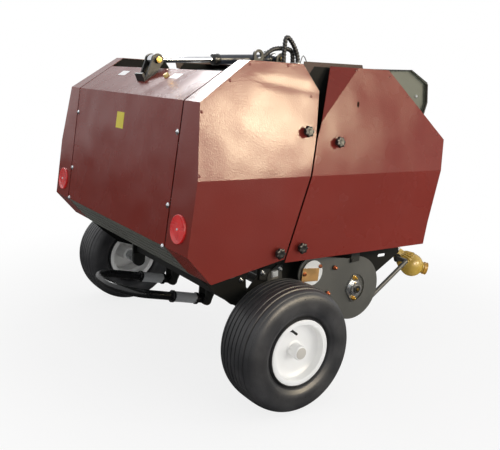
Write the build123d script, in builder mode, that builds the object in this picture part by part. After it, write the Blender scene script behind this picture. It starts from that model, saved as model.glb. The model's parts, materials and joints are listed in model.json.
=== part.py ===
"""Mini round baler, a towed machine with two wheels, a pickup reel in front and a tailgate behind.

Lengths are millimetres. X runs forward to the tractor, Y to the left and Z up from the ground.
Places along the machine are written from the wheel axle, and AXLE_X puts the axle where the
middle of the whole machine comes to X = 0.
"""

import os
from math import atan2, cos, degrees, hypot, radians, sin, tan

from build123d import *

# Wheels and axle
TYRE_OD = 457.0
TYRE_WIDTH = 200.0
AXLE_Z = TYRE_OD / 2
BEAD_R = 104.0
BEAD_HALF = 84.0
LIP_R = 119.0
LIP_T = 4.0
RIM_WALL = 4.0
DISC_OUT = 46.0
DISC_T = 5.0
HUB_R = 34.0
HUB_IN = 52.0
HUB_CAP_R = 25.0
HUB_CAP_OUT = 92.0
SPINDLE_R = 15.0
SPINDLE_SHOULDER_R = 24.0
RUN_FIT = 0.05
AXLE_BEAM = 60.0
AXLE_BEAM_Z = 315.0
DROP_T = 20.0
DROP_GAP = 14.0
SPINDLE_LENGTH = 90.0
HUB_GAP = 1.0

# Side plates, the tailgate ones lie outside the fixed ones
PLATE_Y = 480.0
PLATE_T = 6.0
PLATE_GAP = 6.0
TAIL_Y = PLATE_Y + PLATE_T + PLATE_GAP
DROP_Y = TAIL_Y + PLATE_T + DROP_GAP
TRACK = 2 * (DROP_Y + DROP_T + SPINDLE_LENGTH + HUB_GAP + HUB_IN)
FRAME_TOP = 1190.0

# Painted side shields: upright below the fold, leaning in above it
SHIELD_Y = 623.0
FOLD_Z = 814.0
LEAN = 12.4
SHEET = 2.5
SEAM_GAP = 8.0
RETURN_Y = TAIL_Y - 22
TOP_RETURN_Y = TAIL_Y - 4
PANEL_GAP = 8.0

# Tailgate outline, seen from the side
TAIL_FOOT = (-284.0, 469.0)
TAIL_BACK = (-377.0, 571.0)
TAIL_SHOULDER = (-321.0, 1055.0)
TAIL_TOP_REAR = (-120.0, 1194.0)
TAIL_TOP_FRONT = (104.0, 1194.0)
TAIL_NOSE = (168.0, 1105.0)
SEAM_TOP = (140.0, 943.0)
SEAM_FOLD_X = 104.0
SEAM_FOOT = (12.0, 524.0)

# Front shield outline, seen from the side
FRONT_FOOT_Z = 511.0
FRONT_FOOT_X = 731.0
FRONT_KNEE = (744.0, 599.0)
FRONT_FOLD_X = 790.0
FRONT_NOSE = (818.0, 935.0)
FRONT_TOP_X = 524.0
BEND_TOP_X = 365.0
BEND_FOOT = (172.0, 1000.0)
INFILL_TOP_X = 260.0
INFILL_DIP = 36.0
SHIELD_SLOT = (352.0, 1063.0)

# Tailgate hinge
PIVOT_X = 190.0
PIVOT_Z = 1100.0
PIVOT_PIN_R = 16.0
PIVOT_EYE_R = 36.0

# Bale chamber
CHAMBER_X = 60.0
CHAMBER_Z = 755.0
ROLLER_CIRCLE = 340.0
ROLLER_R = 55.0
ROLLER_RIBS = 8
RIB_H = 5.0
ROLLER_SHAFT_R = 15.0
ROLLER_WALL = 5.0
ROLLER_DISC_T = 10.0
ROLLER_END_GAP = 10.0
TAIL_ROLLERS = (92.0, 128.0, 164.0, 200.0, 236.0)
FRONT_ROLLERS = (48.0, 14.0, -20.0, -88.0)
BEARING_R = 34.0
BEARING_T = 12.0

# Lift cylinder
ROD_PIN_X = -200.0
ROD_PIN_Z = 1185.0
BARREL_PIN_X = 388.0
BARREL_PIN_Z = 1223.0
BARREL_R = 20.0
BARREL_LENGTH = 323.0
ROD_R = 12.0
EYE_R = 21.0
EYE_WIDTH = 34.0
LIFT_PIN_R = 11.0
EAR_T = 10.0
EAR_GAP = 6.0

# Pickup
REEL_X = 432.0
REEL_Z = 340.0
PICKUP_PLATE_R = 130.0
PICKUP_PLATE_Y = 543.0
PICKUP_PLATE_T = 6.0
RECESS_R = 58.0
RECESS_PLATE_T = 5.0
REEL_TUBE_R = 42.0
TINE_R = 120.0
TINE_T = 6.0
TINE_ROWS = 4
TINES = 12
TINE_PITCH = 74.0
BAND_R = 94.0
BAND_T = 2.5
BAND_WIDTH = 54.0
REEL_SHAFT_R = 15.0

# Twine box on the front top
BOX_HALF = PLATE_Y
BOX_RIM = 14.0
BOX_T = 3.0
BOX_OUTLINE = ((584.0, 1198.0), (715.0, 1204.0), (817.0, 1153.0), (827.0, 1076.0), (790.0, 955.0), (600.0, 955.0))

LID_HINGE_X = 574.0
LID_HINGE_Z = 1200.0
LID_BARREL_R = 7.0
LID_PIN_R = 3.0
LID_BARREL = 60.0
LID_HINGE_Y = 300.0
LID_LUG_T = 6.0

# Drawbar, stand and drive shaft
HITCH_X = 1400.0
HITCH_EYE_R = 42.0
HITCH_BORE_R = 20.5
HITCH_T = 30.0
DRAWBAR_Z = 420.0
DRAWBAR_SIZE = 70.0
FRONT_TUBE_X = 590.0
FRONT_TUBE_Z = 440.0
FRONT_TUBE_SIZE = 60.0
JACK_X = 950.0
JACK_SLEEVE_R = 30.0
JACK_LEG_R = 23.0
JACK_FOOT_R = 62.0
GEARBOX_X = 700.0
GEARBOX_Z = 560.0
DRIVE_JOINT_X = 806.0
SHAFT_TURN = -54.5
SHAFT_DROP = 33.25
SHAFT_TUBE_R = 24.0
REST_PLACE = 230.0
REST_R = 8.0
REST_GAP = 0.4

# Bale ramp
RAMP_HINGE_X = -20.0
RAMP_HINGE_Z = 235.0
RAMP_HALF = 148.0
RAMP_TUBE_R = 17.0
RAMP_RISE = 12.6
RAMP_REACH = 388.0

os.makedirs("parts", exist_ok=True)

RAMP_REAR_X = RAMP_HINGE_X - RAMP_REACH * cos(radians(RAMP_RISE)) - RAMP_TUBE_R
AXLE_X = -(HITCH_X + HITCH_EYE_R + RAMP_REAR_X) / 2


def side(y):
    """Upright plane across Y: local x is the place ahead of the axle, local y the height."""
    return Plane(origin=(AXLE_X, y, 0), x_dir=(1, 0, 0), z_dir=(0, -1, 0))


def at(x, y, z):
    """Point given by its place ahead of the axle, its side and its height."""
    return Vector(AXLE_X + x, y, z)


def shield_y(z):
    """Distance of the shields' outer face from the middle at height z."""
    return SHIELD_Y - max(0.0, z - FOLD_Z) * tan(radians(LEAN))


def sheet(points, direction, thickness=SHEET):
    """Flat sheet through 3-D points, given its thickness along one direction."""
    extrude(Face(Wire.make_polygon(points, close=True)), amount=thickness, dir=direction)


def write(part, name):
    """Label one sub-part and write its file."""
    part.label = name
    export_step(part, f"parts/{name}.step")


def on_circle(angle, radius):
    """Point in the side elevation at an angle round the bale chamber."""
    return (CHAMBER_X + radius * cos(radians(angle)), CHAMBER_Z + radius * sin(radians(angle)))


def along(start, end, distance):
    """Point at a distance from start towards end, in the side elevation."""
    length = hypot(end[0] - start[0], end[1] - start[1])
    share = distance / length
    return (start[0] + (end[0] - start[0]) * share, start[1] + (end[1] - start[1]) * share)


def tyre(hand):
    centre = at(0, hand * TRACK / 2, AXLE_Z)
    half = TYRE_WIDTH / 2
    crown = TYRE_OD / 2
    section = Plane(origin=centre, x_dir=(0, hand, 0), z_dir=(hand, 0, 0))
    with BuildPart() as wheel:
        with BuildSketch(section):
            with BuildLine():
                Line((0, BEAD_R), (BEAD_HALF, BEAD_R))
                Line((BEAD_HALF, BEAD_R), (BEAD_HALF, LIP_R))
                ThreePointArc((BEAD_HALF, LIP_R), (half * 0.985, LIP_R + 20), (half, (LIP_R + crown) / 2))
                ThreePointArc((half, (LIP_R + crown) / 2), (half * 0.975, crown - 26), (half * 0.88, crown - 10))
                ThreePointArc((half * 0.88, crown - 10), (half * 0.5, crown - 3), (0, crown))
                Line((0, crown), (0, BEAD_R))
            make_face()
            mirror(about=Plane.YZ)
        revolve(axis=Axis(centre, (0, 1, 0)))
    return wheel.part


def rim(hand):
    """Dished rim: barrel with a lip at each side, a disc, a hub that runs on the spindle and its cap."""
    centre = at(0, hand * TRACK / 2, AXLE_Z)
    section = Plane(origin=centre, x_dir=(0, hand, 0), z_dir=(hand, 0, 0))
    lip_out = BEAD_HALF + LIP_T
    bore = SPINDLE_R + RUN_FIT
    cap_in = DISC_OUT + DISC_T + 22
    with BuildPart() as dish:
        with BuildSketch(section):
            with Locations((0, BEAD_R - RIM_WALL / 2)):
                Rectangle(2 * lip_out, RIM_WALL)
            for place in (-lip_out + LIP_T / 2, lip_out - LIP_T / 2):
                with Locations((place, (BEAD_R + LIP_R) / 2)):
                    Rectangle(LIP_T, LIP_R - BEAD_R)
            with BuildLine():
                Polyline(
                    (lip_out - 8, BEAD_R - RIM_WALL),
                    (DISC_OUT + DISC_T, HUB_R + 26),
                    (DISC_OUT + DISC_T, bore),
                    (DISC_OUT, bore),
                    (DISC_OUT, HUB_R + 24),
                    (lip_out - 16, BEAD_R - RIM_WALL),
                    close=True,
                )
            make_face()
            with Locations(((DISC_OUT - HUB_IN) / 2, (bore + HUB_R) / 2)):
                Rectangle(DISC_OUT + HUB_IN, HUB_R - bore)
            with Locations(((DISC_OUT + HUB_CAP_OUT) / 2, (HUB_CAP_R + bore) / 2)):
                Rectangle(HUB_CAP_OUT - DISC_OUT, HUB_CAP_R - bore)
            with Locations(((cap_in + HUB_CAP_OUT) / 2, bore / 2)):
                Rectangle(HUB_CAP_OUT - cap_in, bore)
        revolve(axis=Axis(centre, (0, 1, 0)))
    return dish.part


for hand, word in ((-1, "right"), (1, "left")):
    write(tyre(hand), f"tyre_{word}")
    write(rim(hand), f"rim_{word}")

# Cranked axle: square beam under the frame and a drop plate at each end
with BuildPart() as axle_beam:
    with BuildSketch(side(DROP_Y)):
        with Locations((0, AXLE_BEAM_Z)):
            Rectangle(AXLE_BEAM, AXLE_BEAM)
            Rectangle(AXLE_BEAM - 12, AXLE_BEAM - 12, mode=Mode.SUBTRACT)
    extrude(amount=2 * DROP_Y)
    drop_top = AXLE_BEAM_Z + AXLE_BEAM / 2
    for plane_y in (DROP_Y + DROP_T, -DROP_Y):
        with BuildSketch(side(plane_y)):
            with Locations((0, (drop_top + AXLE_Z) / 2)):
                Rectangle(AXLE_BEAM, drop_top - AXLE_Z)
            with Locations((0, AXLE_Z)):
                Circle(AXLE_BEAM / 2)
        extrude(amount=DROP_T)
write(axle_beam.part, "axle_beam")

# Stub spindles bolted to the drop plates
with BuildPart() as stub_axles:
    shoulder_end = DROP_Y + DROP_T + SPINDLE_LENGTH
    spindle_end = TRACK / 2 + DISC_OUT + DISC_T + 17
    with BuildSketch(side(-DROP_Y - DROP_T)):
        with Locations((0, AXLE_Z)):
            Circle(SPINDLE_SHOULDER_R)
    extrude(amount=SPINDLE_LENGTH)
    with BuildSketch(side(-shoulder_end)):
        with Locations((0, AXLE_Z)):
            Circle(SPINDLE_R)
    extrude(amount=spindle_end - shoulder_end)
    mirror(about=Plane.XZ)
write(stub_axles.part, "stub_axles")

# Outlines in the side elevation
TAIL_SIDE = (
    TAIL_FOOT,
    TAIL_BACK,
    TAIL_SHOULDER,
    TAIL_TOP_REAR,
    TAIL_TOP_FRONT,
    TAIL_NOSE,
    SEAM_TOP,
    (SEAM_FOLD_X, FOLD_Z),
    SEAM_FOOT,
)
SEAM_SLOPE = (SEAM_FOLD_X - SEAM_FOOT[0]) / (FOLD_Z - SEAM_FOOT[1])
FRONT_SEAM_FOOT = (SEAM_FOOT[0] + SEAM_GAP + (FRONT_FOOT_Z - SEAM_FOOT[1]) * SEAM_SLOPE, FRONT_FOOT_Z)
FRONT_SEAM_FOLD = (SEAM_FOLD_X + SEAM_GAP, FOLD_Z)
FRONT_LOWER = (
    FRONT_SEAM_FOOT,
    (FRONT_FOOT_X, FRONT_FOOT_Z),
    FRONT_KNEE,
    (FRONT_FOLD_X, FOLD_Z),
    FRONT_SEAM_FOLD,
)
FRONT_UPPER = (
    FRONT_SEAM_FOLD,
    (FRONT_FOLD_X, FOLD_Z),
    FRONT_NOSE,
    (FRONT_TOP_X, TAIL_TOP_FRONT[1]),
    (BEND_TOP_X, TAIL_TOP_FRONT[1]),
    BEND_FOOT,
    (SEAM_TOP[0] + SEAM_GAP, SEAM_TOP[1]),
)
KNOBS_TAIL = ((-19.0, 551.0), (96.0, 964.0))
KNOBS_FRONT = ((79.0, 561.0), (238.0, 927.0))
POST_R = 9.0


def posts(places, start):
    """Spacer posts from a side plate out to the inner face of the right shield."""
    inner = SHIELD_Y - SHEET
    with BuildPart() as group:
        with BuildSketch(side(-start)):
            with Locations(*places):
                Circle(POST_R)
        extrude(amount=inner - start)
        lean_face = Plane(
            origin=(0, -inner, FOLD_Z), x_dir=(1, 0, 0), z_dir=(0, -cos(radians(LEAN)), sin(radians(LEAN)))
        )
        split(bisect_by=lean_face, keep=Keep.BOTTOM)
    return group.part


# Stay rods from the pickup plates up to the front of the side plates
STAY_R = 9.0
STAY_FOOT = (530.0, 268.0)
STAY_TOP = (742.0, 413.0)
STAY_EYE_R = 18.0

# Fixed side plates with the hinge pins, the gusset for the drawbar tube and the posts of the shields
with BuildPart() as side_plates:
    with BuildSketch(side(-PLATE_Y)):
        with BuildLine():
            Polyline(
                (PIVOT_X + 8, FRAME_TOP),
                (PIVOT_X - 38, PIVOT_Z + 28),
                (PIVOT_X - 38, PIVOT_Z - 74),
                (40, FOLD_Z),
                (2, 560),
                (2, 430),
                (-46, 372),
                (-46, AXLE_BEAM_Z - 40),
                (46, AXLE_BEAM_Z - 40),
                (300, 283),
                (480, 283),
                (603, 358),
                (745, 440),
                (730, 490),
                (712, 600),
                (762, FOLD_Z),
                (784, 930),
                (500, FRAME_TOP),
                close=True,
            )
        make_face()
        with Locations(STAY_TOP):
            Circle(STAY_EYE_R)
        with Locations((0, AXLE_BEAM_Z)):
            Rectangle(AXLE_BEAM, AXLE_BEAM, mode=Mode.SUBTRACT)
        with Locations((REEL_X, REEL_Z)):
            Circle(REEL_SHAFT_R + 8, mode=Mode.SUBTRACT)
        with Locations((642, 437)):
            SlotOverall(47, 14, mode=Mode.SUBTRACT)
        with Locations(*[on_circle(angle, ROLLER_CIRCLE) for angle in FRONT_ROLLERS]):
            Circle(ROLLER_SHAFT_R, mode=Mode.SUBTRACT)
    extrude(amount=PLATE_T)
    with BuildSketch(side(-PLATE_Y - PLATE_T)):
        with Locations((PIVOT_X, PIVOT_Z)):
            Circle(PIVOT_PIN_R)
    extrude(amount=PLATE_GAP + PLATE_T + 8)
    add(posts(KNOBS_FRONT, PLATE_Y + PLATE_T))
    mirror(about=Plane.XZ)
write(side_plates.part, "side_plates")


def roller(angle, half):
    """Ribbed chamber roller with its stub shafts, between plates half apart from the middle."""
    place = on_circle(angle, ROLLER_CIRCLE)
    body = half - ROLLER_END_GAP
    with BuildPart() as drum:
        with BuildSketch(side(body)):
            with Locations(place):
                Circle(ROLLER_R - RIB_H)
                with PolarLocations(ROLLER_R - RIB_H, ROLLER_RIBS):
                    Rectangle(2 * RIB_H, 8)
        extrude(amount=2 * body)
        with BuildSketch(side(body - ROLLER_DISC_T)):
            with Locations(place):
                Circle(ROLLER_R - RIB_H - ROLLER_WALL)
        extrude(amount=2 * (body - ROLLER_DISC_T), mode=Mode.SUBTRACT)
        with BuildSketch(side(half + PLATE_T + BEARING_T)):
            with Locations(place):
                Circle(ROLLER_SHAFT_R)
        extrude(amount=2 * (half + PLATE_T + BEARING_T))
    return drum.part


with BuildPart() as front_rollers:
    for angle in FRONT_ROLLERS:
        add(roller(angle, PLATE_Y))
write(front_rollers.part, "front_rollers")

with BuildPart() as tail_rollers:
    for angle in TAIL_ROLLERS:
        add(roller(angle, TAIL_Y))
write(tail_rollers.part, "tail_rollers")


def bearings(angles, start):
    """Flanged bearing housings on the outside of the plates."""
    with BuildPart() as group:
        with BuildSketch(side(-start)):
            for angle in angles:
                with Locations(on_circle(angle, ROLLER_CIRCLE)):
                    Circle(BEARING_R)
                    Circle(ROLLER_SHAFT_R, mode=Mode.SUBTRACT)
        extrude(amount=BEARING_T)
        mirror(about=Plane.XZ)
    return group.part


write(bearings(FRONT_ROLLERS, PLATE_Y + PLATE_T), "front_bearings")
write(bearings(TAIL_ROLLERS, TAIL_Y + PLATE_T), "tail_bearings")

# Cross tubes of the fixed frame, with the lifting eye and the ears of the lift cylinder
EYE_TUBE_X = 250.0
EYE_TUBE_Z = 1148.0
EYE_TUBE = 36.0
EAR_TUBE = 50.0
EAR_TUBE_Z = 1150.0
TUBE_WALL = 4.0
LIFT_EYE_Y = -95.0
LIFT_EYE_T = 12.0
LIFT_EYE_W = 46.0
LIFT_EYE_TOP = 1230.0
LIFT_HOLE_R = 13.0
LIFT_EYE_X = 222.0
EAR_Y = EYE_WIDTH / 2 + EAR_GAP
with BuildPart() as cross_tubes:
    with BuildSketch(side(PLATE_Y)):
        with Locations((EYE_TUBE_X, EYE_TUBE_Z)):
            Rectangle(EYE_TUBE, EYE_TUBE)
            Rectangle(EYE_TUBE - 2 * TUBE_WALL, EYE_TUBE - 2 * TUBE_WALL, mode=Mode.SUBTRACT)
        with Locations((BARREL_PIN_X, EAR_TUBE_Z)):
            Rectangle(EAR_TUBE, EAR_TUBE)
            Rectangle(EAR_TUBE - 2 * TUBE_WALL, EAR_TUBE - 2 * TUBE_WALL, mode=Mode.SUBTRACT)
        with Locations((FRONT_TUBE_X, FRONT_TUBE_Z)):
            Rectangle(FRONT_TUBE_SIZE, FRONT_TUBE_SIZE)
            Rectangle(FRONT_TUBE_SIZE - 2 * TUBE_WALL, FRONT_TUBE_SIZE - 2 * TUBE_WALL, mode=Mode.SUBTRACT)
    extrude(amount=2 * PLATE_Y)
    with BuildSketch(side(LIFT_EYE_Y + LIFT_EYE_T / 2)):
        with Locations((LIFT_EYE_X, (EYE_TUBE_Z + LIFT_EYE_TOP) / 2)):
            Rectangle(LIFT_EYE_W, LIFT_EYE_TOP - EYE_TUBE_Z)
        with Locations((LIFT_EYE_X, LIFT_EYE_TOP)):
            Circle(LIFT_EYE_W / 2)
            Circle(LIFT_HOLE_R, mode=Mode.SUBTRACT)
    extrude(amount=LIFT_EYE_T)
    for ear_y in (EAR_Y + EAR_T, -EAR_Y):
        with BuildSketch(side(ear_y)):
            with Locations((BARREL_PIN_X, (EAR_TUBE_Z + BARREL_PIN_Z) / 2)):
                Rectangle(EAR_TUBE, BARREL_PIN_Z - EAR_TUBE_Z)
            with Locations((BARREL_PIN_X, BARREL_PIN_Z)):
                Circle(EAR_TUBE / 2)
        extrude(amount=EAR_T)
    with BuildSketch(side(EAR_Y + EAR_T + 10)):
        with Locations((BARREL_PIN_X, BARREL_PIN_Z)):
            Circle(LIFT_PIN_R)
    extrude(amount=2 * (EAR_Y + EAR_T + 10))
write(cross_tubes.part, "cross_tubes")


def return_strip(start, end, inner_y):
    """Folded edge of the right tail shield, from its outer face in to inner_y."""
    length = hypot(end[0] - start[0], end[1] - start[1])
    inward = ((end[1] - start[1]) / length, 0, -(end[0] - start[0]) / length)
    corners = (
        at(start[0], -shield_y(start[1]), start[1]),
        at(end[0], -shield_y(end[1]), end[1]),
        at(end[0], -inner_y, end[1]),
        at(start[0], -inner_y, start[1]),
    )
    sheet(corners, inward)


# Tailgate shields: lower and upper panel and the folded edges behind and above
with BuildPart() as tail_shields:
    lower = (TAIL_FOOT, TAIL_BACK, along(TAIL_BACK, TAIL_SHOULDER, (FOLD_Z - TAIL_BACK[1]) * hypot(
        TAIL_SHOULDER[0] - TAIL_BACK[0], TAIL_SHOULDER[1] - TAIL_BACK[1]) / (TAIL_SHOULDER[1] - TAIL_BACK[1])))
    rear_fold = lower[2]
    sheet([at(x, -shield_y(z), z) for x, z in (*lower, (SEAM_FOLD_X, FOLD_Z), SEAM_FOOT)], (0, 1, 0))
    upper = (rear_fold, TAIL_SHOULDER, TAIL_TOP_REAR, TAIL_TOP_FRONT, TAIL_NOSE, SEAM_TOP, (SEAM_FOLD_X, FOLD_Z))
    sheet([at(x, -shield_y(z), z) for x, z in upper], (0, 1, 0))
    return_strip(TAIL_FOOT, TAIL_BACK, RETURN_Y)
    return_strip(TAIL_BACK, rear_fold, RETURN_Y)
    return_strip(rear_fold, TAIL_SHOULDER, RETURN_Y)
    return_strip(TAIL_SHOULDER, TAIL_TOP_REAR, RETURN_Y)
    return_strip(TAIL_TOP_REAR, TAIL_TOP_FRONT, TOP_RETURN_Y)
    mirror(about=Plane.XZ)
write(tail_shields.part, "tail_shields")

# Front shields, with the bent-in corner beside the seam and a short lip on the front edges
with BuildPart() as front_shields:
    sheet([at(x, -shield_y(z), z) for x, z in FRONT_LOWER], (0, 1, 0))
    sheet([at(x, -shield_y(z), z) for x, z in FRONT_UPPER], (0, 1, 0))
    top_z = TAIL_TOP_FRONT[1]
    sheet(
        [
            at(BEND_FOOT[0], -shield_y(BEND_FOOT[1]), BEND_FOOT[1]),
            at(BEND_TOP_X, -shield_y(top_z), top_z),
            at(INFILL_TOP_X, -shield_y(top_z) + INFILL_DIP, top_z),
        ],
        (0, 1, 0),
    )
    with BuildSketch(side(-SHIELD_Y / 2)):
        with Locations(Location((*SHIELD_SLOT, 0), (0, 0, 78))):
            SlotOverall(22, 10)
    extrude(amount=SHIELD_Y, mode=Mode.SUBTRACT)
    mirror(about=Plane.XZ)
write(front_shields.part, "front_shields")

# Tailgate side plates: they follow the folded edges of the shields and carry the hinge eyes
TAIL_LOBE = ((-282.0, 476.0), (-199.0, 400.0), (-120.0, 338.0), (-49.0, 316.0), (-60.0, 430.0), (0.0, 540.0))
with BuildPart() as tail_plates:
    with BuildSketch(side(-TAIL_Y)) as tail_sketch:
        Polygon(*TAIL_SIDE, align=None)
        offset(amount=-SHEET, mode=Mode.REPLACE)
        Polygon(*TAIL_LOBE, align=None)
        with Locations((PIVOT_X, PIVOT_Z)):
            Circle(PIVOT_EYE_R)
            Circle(PIVOT_PIN_R + RUN_FIT, mode=Mode.SUBTRACT)
        with Locations(*[on_circle(angle, ROLLER_CIRCLE) for angle in TAIL_ROLLERS]):
            Circle(ROLLER_SHAFT_R, mode=Mode.SUBTRACT)
    extrude(amount=PLATE_T)
    add(posts(KNOBS_TAIL, TAIL_Y + PLATE_T))
    mirror(about=Plane.XZ)
write(tail_plates.part, "tail_plates")


def square_tube(place, size, angle, half):
    """Square tube right across the tailgate, turned by an angle in the side elevation."""
    with BuildSketch(side(half)) as section:
        with Locations(Location((place[0], place[1], 0), (0, 0, angle))):
            Rectangle(size, size)
            Rectangle(size - 8, size - 8, mode=Mode.SUBTRACT)
    extrude(section.sketch, amount=2 * half)


def under(start, end, distance, depth):
    """Point at a distance along a line and a depth to its right, in the side elevation."""
    length = hypot(end[0] - start[0], end[1] - start[1])
    x, z = along(start, end, distance)
    return (x + (end[1] - start[1]) / length * depth, z - (end[0] - start[0]) / length * depth)


def slope(start, end):
    return degrees(atan2(end[1] - start[1], end[0] - start[0]))


# Tailgate cross tubes, set against the inside of the rear and top sheets
TAIL_TUBE = 40.0
with BuildPart() as tail_tubes:
    depth = SHEET + TAIL_TUBE / 2
    square_tube(under(TAIL_SHOULDER, TAIL_TOP_REAR, 112, depth), TAIL_TUBE, slope(TAIL_SHOULDER, TAIL_TOP_REAR), TAIL_Y)
    square_tube(under(TAIL_BACK, TAIL_SHOULDER, 32, depth), TAIL_TUBE, slope(TAIL_BACK, TAIL_SHOULDER), TAIL_Y)
    square_tube(under(TAIL_FOOT, TAIL_BACK, 26, depth), TAIL_TUBE, slope(TAIL_FOOT, TAIL_BACK), TAIL_Y)
write(tail_tubes.part, "tail_tubes")

# Rear sheet, folded over the top, between the folded edges of the shields
PANEL_HALF = RETURN_Y - PANEL_GAP
PANEL_TOP = along(TAIL_SHOULDER, TAIL_TOP_REAR, 175)
with BuildPart() as tail_panel:
    for start, end in ((TAIL_BACK, TAIL_SHOULDER), (TAIL_SHOULDER, PANEL_TOP)):
        length = hypot(end[0] - start[0], end[1] - start[1])
        inward = ((end[1] - start[1]) / length, 0, -(end[0] - start[0]) / length)
        corners = (
            at(start[0], -PANEL_HALF, start[1]),
            at(end[0], -PANEL_HALF, end[1]),
            at(end[0], PANEL_HALF, end[1]),
            at(start[0], PANEL_HALF, start[1]),
        )
        sheet(corners, inward)
write(tail_panel.part, "tail_panel")

# Grey closing sheet under the rear sheet, with a lip turned in at its foot
with BuildPart() as tail_channel:
    foot = TAIL_FOOT
    back = along(TAIL_BACK, TAIL_FOOT, 4)
    length = hypot(back[0] - foot[0], back[1] - foot[1])
    inward = ((back[1] - foot[1]) / length, 0, -(back[0] - foot[0]) / length)
    sheet(
        (
            at(foot[0], -PANEL_HALF, foot[1]),
            at(back[0], -PANEL_HALF, back[1]),
            at(back[0], PANEL_HALF, back[1]),
            at(foot[0], PANEL_HALF, foot[1]),
        ),
        inward,
    )
    lip = (foot[0] + 34, foot[1] - 24)
    sheet(
        (
            at(foot[0], -PANEL_HALF, foot[1]),
            at(lip[0], -PANEL_HALF, lip[1]),
            at(lip[0], PANEL_HALF, lip[1]),
            at(foot[0], PANEL_HALF, foot[1]),
        ),
        (0, 0, 1),
        4,
    )
write(tail_channel.part, "tail_channel")

# Ears for the rod of the lift cylinder, on the sloping top sheet
BRACKET_REAR = along(TAIL_SHOULDER, TAIL_TOP_REAR, 82)
BRACKET_FRONT = along(TAIL_SHOULDER, TAIL_TOP_REAR, 144)
with BuildPart() as rod_bracket:
    for ear_y in (EAR_Y + EAR_T, -EAR_Y):
        with BuildSketch(side(ear_y)):
            with BuildLine():
                Polyline(
                    BRACKET_REAR,
                    BRACKET_FRONT,
                    (ROD_PIN_X + 22, ROD_PIN_Z - 8),
                    (ROD_PIN_X - 22, ROD_PIN_Z + 4),
                    close=True,
                )
            make_face()
            with Locations((ROD_PIN_X, ROD_PIN_Z)):
                Circle(24)
        extrude(amount=EAR_T)
    with BuildSketch(side(EAR_Y + EAR_T)):
        Polygon(
            BRACKET_REAR,
            along(TAIL_SHOULDER, TAIL_TOP_REAR, 96),
            under(TAIL_SHOULDER, TAIL_TOP_REAR, 96, -30),
            under(TAIL_SHOULDER, TAIL_TOP_REAR, 88, -30),
            align=None,
        )
    extrude(amount=2 * (EAR_Y + EAR_T))
    for head_y in (EAR_Y + EAR_T + 10, -EAR_Y - EAR_T):
        with BuildSketch(side(head_y)):
            with Locations((ROD_PIN_X, ROD_PIN_Z)):
                Circle(LIFT_PIN_R)
        extrude(amount=10)
write(rod_bracket.part, "rod_bracket")

# Round red reflectors on the folded edges
REFLECTOR_R = 49.0
REFLECTOR_T = 7.0
REFLECTOR_Y = 545.0
with BuildPart() as reflectors:
    centre = along(TAIL_BACK, TAIL_SHOULDER, 76)
    tilt = slope(TAIL_BACK, TAIL_SHOULDER)
    outward = (-sin(radians(tilt)), 0, cos(radians(tilt)))
    with BuildSketch(Plane(origin=at(centre[0], -REFLECTOR_Y, centre[1]), x_dir=(0, 1, 0), z_dir=outward)):
        Circle(REFLECTOR_R)
    extrude(amount=REFLECTOR_T)
    mirror(about=Plane.XZ)
write(reflectors.part, "reflectors")


def knobs(places):
    """Star knobs on the outer face of the shields."""
    with BuildPart() as group:
        for x, z in places:
            lean = radians(LEAN) if z > FOLD_Z else 0.0
            face = Plane(origin=at(x, -shield_y(z), z), x_dir=(1, 0, 0), z_dir=(0, -cos(lean), sin(lean)))
            with BuildSketch(face):
                Circle(11)
            extrude(amount=8)
            with BuildSketch(face.offset(8)):
                Circle(16)
                with PolarLocations(16, 7):
                    Circle(5)
            extrude(amount=16)
        mirror(about=Plane.XZ)
    return group.part


write(knobs(KNOBS_FRONT), "front_knobs")
write(knobs(KNOBS_TAIL), "tail_knobs")

# Front sheet between the side plates, below the twine box
with BuildPart() as front_panel:
    sheet(
        (at(600, -PLATE_Y, 955), at(600, PLATE_Y, 955), at(545, PLATE_Y, 560), at(545, -PLATE_Y, 560)),
        (-1, 0, 0),
        3,
    )
write(front_panel.part, "front_panel")

# Thin cover sheets over the top, each side of the lift cylinder, with a lip folded up along the side plate
COVER_LIP = ((150.0, 1192.0), (150.0, 1205.0), (434.0, 1208.0), (440.0, FRAME_TOP), (200.0, FRAME_TOP))
with BuildPart() as top_covers:
    with Locations(at(420, -275, FRAME_TOP + SHEET / 2)):
        Box(200, 430, SHEET)
    with BuildSketch(side(-PLATE_Y - PLATE_T + SHEET)):
        Polygon(*COVER_LIP, align=None)
    extrude(amount=SHEET)
    mirror(about=Plane.XZ)
write(top_covers.part, "top_covers")


# Hydraulic hoses: from risers on the cross tubes over to the fittings on the right cover
HOSE_R = 10.0
HOSE_A_Y = -66.0
HOSE_B_Y = -89.0
RISER_R = 11.0
FITTING_TOP = 1212.0
HOSE_A = ((255.0, 1214.0), (315.0, 1264.0), (408.0, 1264.0), (424.0, 1236.0), (424.0, FITTING_TOP))
HOSE_B = ((357.0, 1207.0), (359.0, 1335.0), (398.0, 1298.0), (434.0, 1236.0), (434.0, FITTING_TOP))


def hose(points, radii, y):
    """Hose along straight runs and tangent arcs in an upright plane."""
    with BuildLine(side(y)) as route:
        FilletPolyline(*points, radius=radii)
    with BuildSketch(Plane(origin=route.line @ 0, z_dir=route.line % 0)) as section:
        Circle(HOSE_R)
    sweep(section.sketch, path=route.line)


with BuildPart() as hoses:
    hose(HOSE_A, [80.0, 34.0, 40.0], HOSE_A_Y)
    hose(HOSE_B, [18.0, 60.0, 60.0], HOSE_B_Y)
write(hoses.part, "hoses")

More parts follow.
